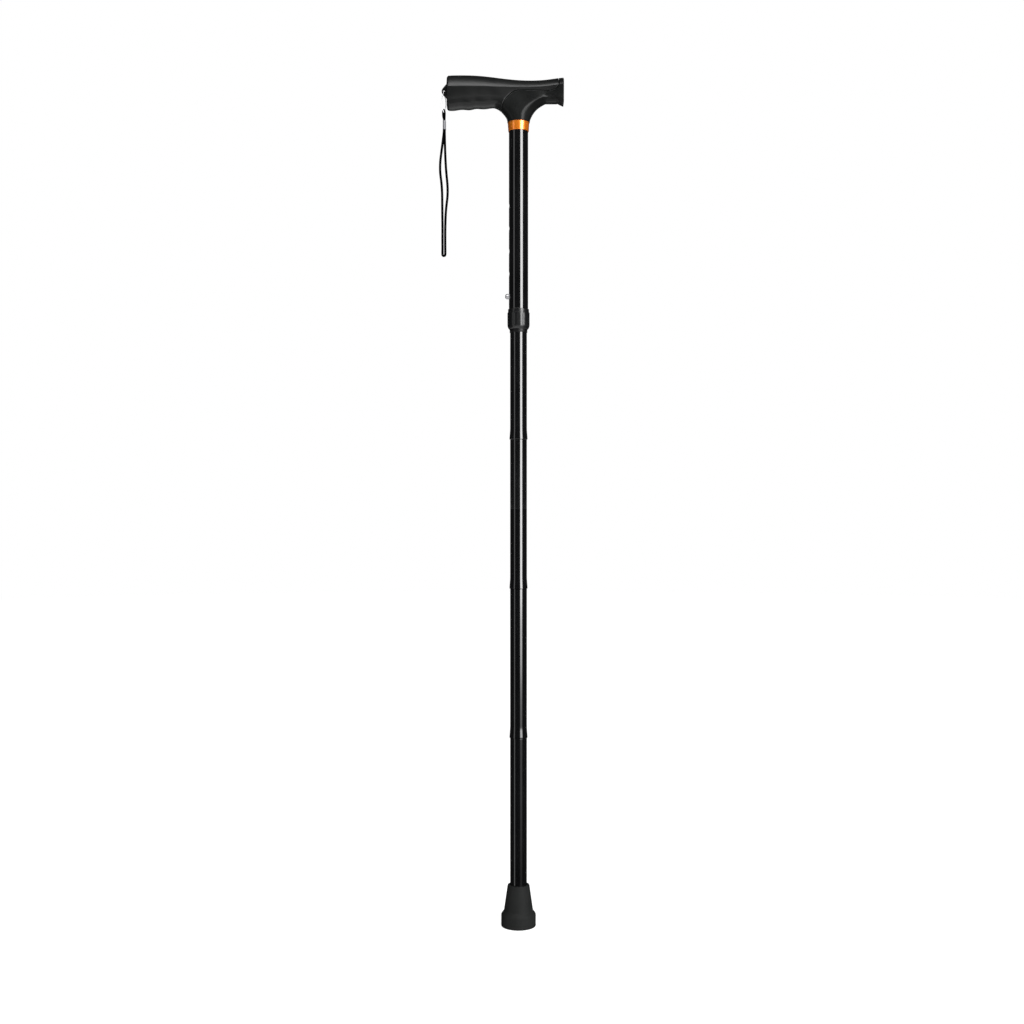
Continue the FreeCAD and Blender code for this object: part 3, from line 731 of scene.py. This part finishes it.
TREAD_RINGS = (5.5, 10.0, 14.5)
TREAD_WIDTH = 1.8
TREAD_DEPTH = 1.5


def rubber_tip():
    """The ferrule: a conical socket on a thick foot with ring grooves in its sole."""
    radius, bottom, top = round_node("rubber_tip")
    neck = 12.15 * MM
    socket = 9.38 * MM
    sole = 10.5 * MM
    tread = []
    for groove in TREAD_RINGS:
        inner, outer, deep = groove * MM, (groove + TREAD_WIDTH) * MM, TREAD_DEPTH * MM
        tread += [(inner, 0, 0.25 * MM), (inner, deep, 0.3 * MM)]
        tread += [(outer, deep, 0.3 * MM), (outer, 0, 0.25 * MM)]
    foot_top = 13.3 * MM
    waist = (16.3 * MM, 17.4 * MM)
    tip = revolved("ferrule", [
        (0, sole, 0), (0, 0, 0), *tread, (radius, 0, 1.0 * MM),
        (radius, foot_top, 1.1 * MM), (*waist, 0.5 * MM),
        (neck, top, 1.1 * MM), (socket, top, 0.5 * MM), (socket, sole, 0),
    ], steps=5)
    return finish_piece(tip, "section_4", "tip_rubber", rubber, "rubber_tip")


def snap_button():
    """One spring leaf bent to a U, with a domed button drawn out of its outer leg."""
    near, far, bend = -7.05 * MM, 7.0 * MM, 4.6 * MM
    foot = 0.6645
    heel = foot + 1.5 * MM
    route = [
        (near, 0, BUTTON_HEIGHT + 8 * MM), (near, 0, BUTTON_HEIGHT - 10 * MM),
        (-bend, 0, heel), (0, 0, foot), (bend, 0, heel), (far, 0, BUTTON_HEIGHT - 4 * MM),
    ]
    line = line_points("leaf", route)
    half, thick = 3.0 * MM, 0.4 * MM
    points = []
    for i, p in enumerate(line):
        direction = (line[min(i + 1, len(line) - 1)] - line[max(i - 1, 0)]).normalized()
        out = direction.cross(Vector((0, 1, 0)))
        for y, w in ((-half, -thick), (half, -thick), (half, thick), (-half, thick)):
            points.append(p + out * w + Vector((0, y, 0)))
    count = len(line)
    faces = [(0, 1, 2, 3), tuple(4 * (count - 1) + k for k in (3, 2, 1, 0))]
    for i in range(count - 1):
        for k in range(4):
            n = (k + 1) % 4
            faces.append((4 * i + k, 4 * i + 4 + k, 4 * i + 4 + n, 4 * i + n))
    reach = -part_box("snap_button_clip")[0].x
    stem, dome, root = 3.0 * MM, 2.0 * MM, 7.0 * MM
    skirt = stem + 0.3 * MM
    rounds = 8
    profile = [(0.0, reach)]
    for k in range(1, rounds + 1):
        angle = math.pi / 2 * k / rounds
        profile.append((stem * math.sin(angle) ** 0.9, reach - dome * (1 - math.cos(angle))))
    profile += [(stem, 8.2 * MM), (skirt, 7.5 * MM), (skirt, root), (0.0, root)]
    base = len(points)
    sides = 40
    for r, away in profile:
        for k in range(sides):
            angle = 2 * math.pi * k / sides
            points.append(Vector((-away, r * math.cos(angle), BUTTON_HEIGHT + r * math.sin(angle))))
    for i in range(len(profile) - 1):
        for k in range(sides):
            n = (k + 1) % sides
            a = base + i * sides
            faces.append((a + k, a + n, a + sides + n, a + sides + k))
    clip = tidy_normals(mesh_object("button_clip", points, faces))
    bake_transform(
        clip, "section_1", "snap_button",
        start=(0.004, 0, BUTTON_HEIGHT), end=(-0.0060, 0, BUTTON_HEIGHT),
    )
    return finish_piece(clip, "snap_button", "steel", steel, "snap_button_clip")


upper_tube()
for number in range(1, LAST_SECTION + 1):
    lower_section(number)
lock_ring()
lock_body()
collar_ring()
rubber_tip()
snap_button()


# Handle. Its core and soft cover are meshed from distance fields, in millimetres.

def spline(stations):
    """A natural cubic spline through (place, value) pairs, as a function."""
    xs, ys = (np.array(column, float) for column in zip(*stations))
    gaps = np.diff(xs)
    count = len(xs)
    matrix = np.eye(count)
    right = np.zeros(count)
    for i in range(1, count - 1):
        matrix[i, i - 1 : i + 2] = (gaps[i - 1], 2 * (gaps[i - 1] + gaps[i]), gaps[i])
        right[i] = 6 * ((ys[i + 1] - ys[i]) / gaps[i] - (ys[i] - ys[i - 1]) / gaps[i - 1])
    bend = np.linalg.solve(matrix, right)

    def value(x):
        x = np.clip(x, xs[0], xs[-1])
        i = np.clip(np.searchsorted(xs, x) - 1, 0, count - 2)
        gap, after, before = gaps[i], x - xs[i], xs[i + 1] - x
        cubic = (bend[i] * before**3 + bend[i + 1] * after**3) / (6 * gap)
        rest_before = (ys[i] / gap - bend[i] * gap / 6) * before
        rest_after = (ys[i + 1] / gap - bend[i + 1] * gap / 6) * after
        return cubic + rest_before + rest_after

    return value


def both(a, b, rounding):
    """Where both fields are inside, with the edge between them rounded."""
    corner = np.hypot(np.maximum(a + rounding, 0), np.maximum(b + rounding, 0))
    return np.minimum(np.maximum(a, b), -rounding) + corner


def either(a, b, rounding):
    """Where one of the fields is inside, with the inner corner between them rounded."""
    return -both(-a, -b, rounding)


def eased(value, low, high):
    """0 below low, 1 above high, and a smooth rise between them."""
    share = np.clip((value - low) / (high - low), 0, 1)
    return share**2 * (3 - 2 * share)


LEFT_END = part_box("grip_cover")[0].x / MM
RIGHT_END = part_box("handle_core")[1].x / MM
LEFT_END_ROUND = 2.6
RIGHT_END_ROUND = 1.0

# The bar along X: heights of its underside, widest line and top, half its depth, and its belly's height
bar_bottom = spline([
    (-80.2, 913.6), (-76.2, 913.3), (-70.6, 913.6), (-65.5, 914.4), (-60, 914.4), (-55.2, 914.1),
    (-51.5, 914.7), (-47.0, 915.5), (-43.5, 915.3), (-39.3, 915.1), (-34, 915.6), (-29.3, 916.2),
    (-25.5, 916.0), (-21, 915.3), (-5, 918.6), (15, 921.9), (28, 923.9), (36, 924.5), (44.8, 921.0),
    (50.5, 918.3),
])
bar_widest = spline([
    (-80.2, 935.2), (-45, 935.1), (-28, 934.8), (-5, 934.6), (15, 934.9), (33, 936.1), (50.5, 938.2),
])
bar_top = spline([
    (-80.2, 950.9), (-76, 951.2), (-66, 951.4), (-45, 950.8), (-28, 949.0), (-5, 946.3), (15, 945.5),
    (33, 946.6), (44.8, 948.15), (50.5, 948.65),
])
bar_half = spline([
    (-80.2, 13.9), (-66, 14.4), (-45, 14.5), (-28, 14.1), (-5, 13.5), (15, 13.0), (33, 12.9), (44.8, 13.5),
    (50.5, 14.0),
])
bar_belly = spline([(-80.2, 10), (-45, 11), (-28, 10), (-5, 8), (15, 6), (33, 5), (50.5, 5)])
DRAFT = 2.2
DRAFT_CURVE = 1.7
BELLY_SHAPE = 2.6
CROWN_WIDE = 2.3
CROWN_HIGH = 1.35


def oval_field(across, half_across, along, half_along, square):
    """The distance from an oval; the higher its squareness, the fuller its corners."""
    wide, long = across / half_across, along / half_along
    reach = (wide**square + long**square + 1e-12) ** (1 / square)
    slope = np.hypot(wide ** (square - 1) / half_across, long ** (square - 1) / half_along)
    return (reach - 1) / (slope * reach ** (1 - square) + 1e-9)


def bar_field(x, y, z):
    """The bar: a crown above a creased widest line, sides that draw in below it, and a rounded belly."""
    bottom, widest, top, half, belly = (f(x) for f in (bar_bottom, bar_widest, bar_top, bar_half, bar_belly))
    y = np.abs(y)
    rise = top - widest
    wide = y / half
    high = np.maximum(z - widest, 1e-6) / rise
    sideways = CROWN_WIDE * wide ** (CROWN_WIDE - 1) / half
    upwards = CROWN_HIGH * high ** (CROWN_HIGH - 1) / rise
    pull = np.hypot(sideways, upwards)
    crown = (wide**CROWN_WIDE + high**CROWN_HIGH - 1) / np.maximum(pull, 0.02)
    foot = half - DRAFT
    share = np.clip((widest - z) / (widest - bottom - belly), 0, 1)
    side = y - (half - DRAFT * (1 - (1 - share) ** DRAFT_CURVE))
    down = np.maximum(bottom + belly - z, 0)
    under = oval_field(y, foot, down, belly, BELLY_SHAPE)
    field = np.where(z >= widest, crown, np.where(down > 0, under, side))
    field = both(field, LEFT_END - x, LEFT_END_ROUND)
    return both(field, x - RIGHT_END, RIGHT_END_ROUND)


# The neck up Z: its ends in X, half its depth, its squareness and its ridge's place in X
neck_left = spline([
    (898.8, -12.45), (901.5, -12.7), (905.5, -14.15), (910.5, -17.9), (915.5, -23.3), (920, -30.0),
    (925, -37.0),
])
neck_right = spline([
    (898.8, 12.6), (901.5, 12.9), (905.5, 14.4), (910.5, 17.2), (915.5, 21.9), (920, 27.9), (925, 36.0),
])
neck_half = spline([
    (898.8, 12.5), (901.5, 12.6), (905.5, 12.6), (910.5, 12.35), (915.5, 12.1), (920, 11.95), (925, 11.85),
    (930, 11.8),
])
neck_square = spline([(898.8, 2.3), (905.5, 2.8), (910.5, 3.2), (915.5, 3.4), (920, 3.5), (925, 3.7)])
neck_ridge = spline([
    (898.8, 3.1), (905.5, 5.2), (911, 7.9), (914.5, 11.2), (917.3, 14.8), (921, 21.3), (924, 28.5), (930, 44),
])
NECK_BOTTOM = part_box("handle_core")[0].z / MM
NECK_TOP = 932.0
NECK_EDGE = 0.5
RIDGE_TURN = math.radians(36)
RIDGE_ROUND = 1.8
RIDGE_FADE = 1.3             # how far the ridge's flat side stands off at the neck's foot
RIDGE_FADE_LOW, RIDGE_FADE_HIGH = 899.0, 908.0


def neck_field(x, y, z):
    """The neck: an oval that spreads into the bar as it rises, with a soft ridge up to the nose."""
    left, right, half, square, ridge = (
        f(z) for f in (neck_left, neck_right, neck_half, neck_square, neck_ridge)
    )
    middle, length = (left + right) / 2, (right - left) / 2
    y = np.abs(y)
    field = oval_field(np.abs(x - middle), length, y, half, square)
    share = np.minimum(np.abs(ridge - middle) / length, 0.98)
    front = half * (1 - share**square) ** (1 / square)
    facet = (x - ridge) * math.sin(RIDGE_TURN) + (y - front) * math.cos(RIDGE_TURN)
    fade = RIDGE_FADE * (1 - eased(z, RIDGE_FADE_LOW, RIDGE_FADE_HIGH))
    field = both(field, facet - fade, RIDGE_ROUND)
    return both(both(field, NECK_BOTTOM - z, NECK_EDGE), z - NECK_TOP, NECK_EDGE)


# The seam's corners, (x, z), from below the neck to above the bar
SEAM = [
    (-25, 890), (-21.6, 906), (-19.7, 911.4), (-18.6, 914.0), (-17.4, 917.0), (-15.1, 922.0), (-11.7, 925.9),
    (-7.3, 929.4), (-2.9, 931.4), (2.7, 932.2), (19.3, 932.1), (30.4, 931.8), (36.0, 932.1), (40.4, 933.4),
    (43.2, 935.3), (44.8, 938.4), (44.8, 944), (44.8, 955), (44.8, 970),
]


def seam_line():
    """The seam as a fine line of points through its corners."""
    fine = []
    for i in range(1, len(SEAM) - 2):
        a, b, c, d = (np.array(SEAM[k], float) for k in (i - 1, i, i + 1, i + 2))
        for t in np.linspace(0, 1, 6, endpoint=False):
            fine.append(b + 0.5 * t * (c - a + t * (2 * a - 5 * b + 4 * c - d + t * (3 * (b - c) + d - a))))
    return [np.array(SEAM[0], float), *fine, np.array(SEAM[-2], float), np.array(SEAM[-1], float)]


seam_points = seam_line()


def seam_field(x, z):
    """The distance from the seam, below 0 on the core's side."""
    x, z = np.broadcast_arrays(x, z)
    best = np.full(x.shape, 1e9)
    side = np.ones(x.shape)
    for (x0, z0), (x1, z1) in zip(seam_points, seam_points[1:]):
        dx, dz = x1 - x0, z1 - z0
        share = np.clip(((x - x0) * dx + (z - z0) * dz) / (dx * dx + dz * dz), 0, 1)
        px, pz = x - x0 - share * dx, z - z0 - share * dz
        distance = np.hypot(px, pz)
        nearer = distance < best
        best = np.where(nearer, distance, best)
        side = np.where(nearer, np.sign(dx * pz - dz * px), side)
    return best * side


FILLET = 3.0
NOSE_FILLET = 8.5
FILLET_LOSS = 0.85           # the share of it that is gone at the front and the back


def outer_field(x, y, z):
    """Bar and neck with a fillet under the bar, wider on the nose's side and fading out to front and back."""
    widened = FILLET + (NOSE_FILLET - FILLET) * eased(x, -8, 20)
    rounding = widened * (1 - FILLET_LOSS * eased(np.abs(y), 5.0, 10.5))
    return either(bar_field(x, y, z), neck_field(x, y, z), rounding)


def box_field(x, y, z, low, high, rounding):
    """The distance from a box with rounded edges."""
    centre = [(a + b) / 2 for a, b in zip(low, high)]
    half = [(b - a) / 2 - rounding for a, b in zip(low, high)]
    dx, dy, dz = (np.abs(v - c) - h for v, c, h in zip((x, y, z), centre, half))
    outside = np.sqrt(np.maximum(dx, 0) ** 2 + np.maximum(dy, 0) ** 2 + np.maximum(dz, 0) ** 2)
    return outside + np.minimum(np.maximum(np.maximum(dx, dy), dz), 0) - rounding


def inner_bar_field(x, y, z):
    """The core's bar inside the cover."""
    return box_field(x, y, z, (-77.2, -8, 921), (46, 8, 941), 4)


LUG_ROOT = -74.0
LUG_HALF = 2.5
LUG_EDGE = 0.9
LUG_HOLE = (-83.6, 934.3)
LUG_HOLE_R = 1.3
LUG_HOLE_EDGE = 0.4
LUG_CORNERS = [
    (LUG_ROOT, 944.5), (-80.2, 942.6), (-84.9, 937.0), (-86.0, 935.0), (-86.1, 933.4), (-85.4, 931.4),
    (-80.2, 925.5), (LUG_ROOT, 923.4),
]


def lug_field(x, y, z):
    """The pierced strap lug: a plate with a rounded point."""
    shape = x - LUG_ROOT
    for (x0, z0), (x1, z1) in zip(LUG_CORNERS, LUG_CORNERS[1:]):
        long = math.hypot(x1 - x0, z1 - z0)
        shape = np.maximum(shape, ((x - x0) * (z1 - z0) - (z - z0) * (x1 - x0)) / long)
    plate = both(shape, np.abs(y) - LUG_HALF, LUG_EDGE)
    hole = LUG_HOLE_R - np.hypot(x - LUG_HOLE[0], z - LUG_HOLE[1])
    return both(plate, hole, LUG_HOLE_EDGE)


SEAM_GAP = 0.24              # from the seam's middle to either side
SEAM_EDGE = 0.1
SOCKET_R = 10.78
SOCKET_TOP = 928.2
PILOT_R = 2.53
PILOT_TOP = 939.0
COVER_FIT = 0.05
COVER_INNER_EDGE = 0.3


def core_field(x, y, z):
    """The moulded core: neck and nose, the bar inside the cover, the lug, and holes for tube and screw."""
    shell = both(outer_field(x, y, z), seam_field(x, z) + SEAM_GAP, SEAM_EDGE)
    body = np.minimum(np.minimum(shell, inner_bar_field(x, y, z)), lug_field(x, y, z))
    radial = np.hypot(x, y)
    socket = np.maximum(radial - SOCKET_R, z - SOCKET_TOP)
    pilot = np.maximum(radial - PILOT_R, z - PILOT_TOP)
    return np.maximum(body, -np.minimum(socket, pilot))


def cover_field(x, y, z):
    """The soft cover over the core's bar."""
    shell = both(outer_field(x, y, z), SEAM_GAP - seam_field(x, z), SEAM_EDGE)
    inside = np.minimum(inner_bar_field(x, y, z), lug_field(x, y, z)) - COVER_FIT
    return both(shell, -inside, COVER_INNER_EDGE)


def surface_net(field, low, high, step):
    """Points and faces of the surface where the field changes sign, one point in each cell it crosses."""
    axes = [np.arange(a - step, b + 2 * step, step) for a, b in zip(low, high)]
    shape = tuple(len(a) for a in axes)
    value = np.broadcast_to(field(*np.meshgrid(*axes, indexing="ij", sparse=True)), shape)
    inside = value < 0
    corners = np.zeros(tuple(n - 1 for n in shape), np.int8)
    for i in (0, 1):
        for j in (0, 1):
            for k in (0, 1):
                corners += inside[i : shape[0] - 1 + i, j : shape[1] - 1 + j, k : shape[2] - 1 + k]
    mixed = (corners > 0) & (corners < 8)
    number = np.full(mixed.shape, -1)
    number[mixed] = np.arange(mixed.sum())
    cells = np.argwhere(mixed)
    total = np.zeros(cells.shape)
    hits = np.zeros(len(cells))
    faces = []
    for axis in range(3):
        unit = np.eye(3, dtype=int)[axis]
        one, two = np.eye(3, dtype=int)[[(axis + 1) % 3, (axis + 2) % 3]]
        for offset in (0 * unit, one, two, one + two):
            start = cells + offset
            first, last = value[tuple(start.T)], value[tuple((start + unit).T)]
            crossing = (first < 0) != (last < 0)
            share = first[crossing] / (first[crossing] - last[crossing])
            total[crossing] += start[crossing] + share[:, None] * unit
            hits[crossing] += 1
        ends = tuple(slice(1, n) if a == axis else slice(0, n) for a, n in enumerate(shape))
        starts = tuple(slice(0, n - 1) if a == axis else slice(0, n) for a, n in enumerate(shape))
        edges = np.argwhere(inside[starts] != inside[ends])
        rising = inside[tuple(edges.T)]
        around = [number[tuple((edges - o).T)] for o in (0 * unit, one, one + two, two)]
        quads = np.stack(around, 1)
        quads[~rising] = quads[~rising][:, ::-1]
        faces.append(quads)
    points = np.array([a[0] for a in axes]) + step * total / hits[:, None]
    return points, np.concatenate(faces)


def settled(points, faces, field, step):
    """The points evened out a little, then moved onto the surface."""
    for strength, rounds in ((0.5, 2), (0.3, 2), (0.0, 3)):
        if strength:
            centre = points[faces].mean(1)
            total = np.zeros(points.shape)
            count = np.zeros(len(points))
            for corner in faces.T:
                np.add.at(total, corner, centre)
                np.add.at(count, corner, 1)
            points = points + strength * (total / np.maximum(count, 1)[:, None] - points)
        for _ in range(rounds):
            points = points - downhill(points, field, step)
    return points


def downhill(points, field, step):
    """The move that takes each point to the surface, no longer than half a cell."""
    probe = 0.02
    here = field(*points.T)
    slope = np.stack([
        field(*(points + d).T) - field(*(points - d).T) for d in probe * np.eye(3)
    ], 1) / (2 * probe)
    move = (here / np.maximum((slope**2).sum(1), 0.05))[:, None] * slope
    size = np.linalg.norm(move, axis=1)[:, None]
    return move * np.minimum(1, 0.5 * step / np.maximum(size, 1e-9))


GRID = 0.6


def moulded(name, field, slot_name, material, node):
    """A piece of the handle, meshed from its field inside its CAD node's box."""
    low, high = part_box(node)
    points, faces = surface_net(field, low / MM, high / MM, GRID)
    points = settled(points, faces, field, GRID)
    obj = mesh_object(name, points * MM, faces)
    return finish_piece(obj, "handle_and_upper_tube", slot_name, material, node)


moulded("handle_body", core_field, "core", core_plastic, "handle_core")
moulded("soft_cover", cover_field, "cover", cover_rubber, "grip_cover")


# CAD nodes that stay as they are get their materials

for names, look in (
    (("lock_collet",), collet_plastic),
    (("section_2_spigot", "section_3_spigot", "section_4_spigot"), drawn_metal),
    (("cord_top_plug", "cord_bottom_plug", "top_glide_plug", "tube_top_plug"), inner_plastic),
    (("handle_screw", "cord_top_washer", "tip_washer"), steel),
    (("elastic_cord",), cord_braid),
):
    for name in names:
        node = frame["nodes"][name]
        node.data.materials.clear()
        node.data.materials.append(look)


# Floor, backdrop and lights

def floor():
    """A wide pale floor whose glow grows away from the cane, so its far edge melts into the background."""
    sides = 96
    radius = 6.0
    height = -0.3 * MM
    angles = [2 * math.pi * k / sides for k in range(sides)]
    rim = [(radius * math.cos(a), radius * math.sin(a), height) for a in angles]
    obj = mesh_object("floor", rim, [tuple(range(sides))])
    n = Nodes("pale_floor")
    n.set(Roughness=0.9)
    n.shader.inputs["Emission Color"].default_value = (1, 1, 1, 1)
    length = n.tree.nodes.new("ShaderNodeVectorMath")
    length.operation = "LENGTH"
    n.link(n.place.outputs["Object"], length.inputs[0])
    glow = n.spread(length.outputs["Value"], 0.86, 1.0, 0.3, 1.6)
    paper = n.colours(n.noise(3, 2), (0.50, 0.50, 0.50), (0.53, 0.53, 0.53))
    obj.data.materials.append(n.connect(Base_Color=paper, Emission_Strength=glow))
    obj.visible_glossy = False


def world():
    """White to the eye, dim to everything else, as in a studio with dark walls."""
    made = bpy.data.worlds.new("studio")
    made.use_nodes = True
    tree = made.node_tree
    seen = tree.nodes["Background"]
    seen.inputs["Color"].default_value = (1, 1, 1, 1)
    seen.inputs["Strength"].default_value = 1.0
    dim = tree.nodes.new("ShaderNodeBackground")
    dim.inputs["Color"].default_value = (0.95, 0.97, 1, 1)
    dim.inputs["Strength"].default_value = 0.025
    path = tree.nodes.new("ShaderNodeLightPath")
    mix = tree.nodes.new("ShaderNodeMixShader")
    tree.links.new(path.outputs["Is Camera Ray"], mix.inputs["Fac"])
    tree.links.new(dim.outputs["Background"], mix.inputs[1])
    tree.links.new(seen.outputs["Background"], mix.inputs[2])
    tree.links.new(mix.outputs["Shader"], tree.nodes["World Output"].inputs["Surface"])
    bpy.context.scene.world = made


def panel(name, azimuth, distance, width, low, high, radiance):
    """An upright soft light from low to high. Azimuth 0 is towards the viewer, and grows towards +X."""
    angle = math.radians(azimuth)
    data = bpy.data.lights.new(name, "AREA")
    data.shape = "RECTANGLE"
    data.size = width
    data.size_y = high - low
    data.energy = radiance * math.pi * width * (high - low)
    light = link(bpy.data.objects.new(name, data))
    light.location = (distance * math.sin(angle), -distance * math.cos(angle), (low + high) / 2)
    light.rotation_euler = (math.radians(90), 0, angle)
    light.visible_camera = False
    return light


def fade_down(light, stops):
    """Makes the light's glow follow (height share, strength) stops from its lower to its upper edge."""
    light.data.use_nodes = True
    tree = light.data.node_tree
    emission = tree.nodes["Emission"]
    place = tree.nodes.new("ShaderNodeNewGeometry")
    split = tree.nodes.new("ShaderNodeSeparateXYZ")
    ramp = tree.nodes.new("ShaderNodeValToRGB")
    tree.links.new(place.outputs["Parametric"], split.inputs["Vector"])
    tree.links.new(split.outputs["Y"], ramp.inputs["Fac"])
    tree.links.new(ramp.outputs["Color"], emission.inputs["Color"])
    ramp.color_ramp.interpolation = "EASE"
    for i, (share, strength) in enumerate(stops):
        stop = ramp.color_ramp.elements[i] if i < 2 else ramp.color_ramp.elements.new(share)
        stop.position = share
        stop.color = (strength, strength, strength, 1)


def lights():
    """A tall strip on the right, a faint one on the left, a band over the crown and a fill under the bar."""
    key = panel("key_strip", 37, 1.6, 0.80, -0.5, 1.9, 8.8)
    fade_down(key, [(0.0, 0.01), (1.0, 1.0), (0.17, 0.05), (0.20, 0.12), (0.28, 0.55), (0.33, 1.0)])
    panel("left_line", -56, 1.6, 0.40, -0.9, 2.0, 0.85)
    crown = panel("crown_band", 0, 0.72, 1.5, 1.44, 1.94, 5.7)
    crown.rotation_euler = (math.radians(30), 0, 0)
    belly = panel("belly_fill", 0, -0.20, 0.40, -0.234, 1.166, 0.92)
    belly.location.x = -0.03
    belly.rotation_euler = (math.radians(180), 0, 0)


floor()
world()
lights()
bpy.context.scene.view_settings.view_transform = "Standard"
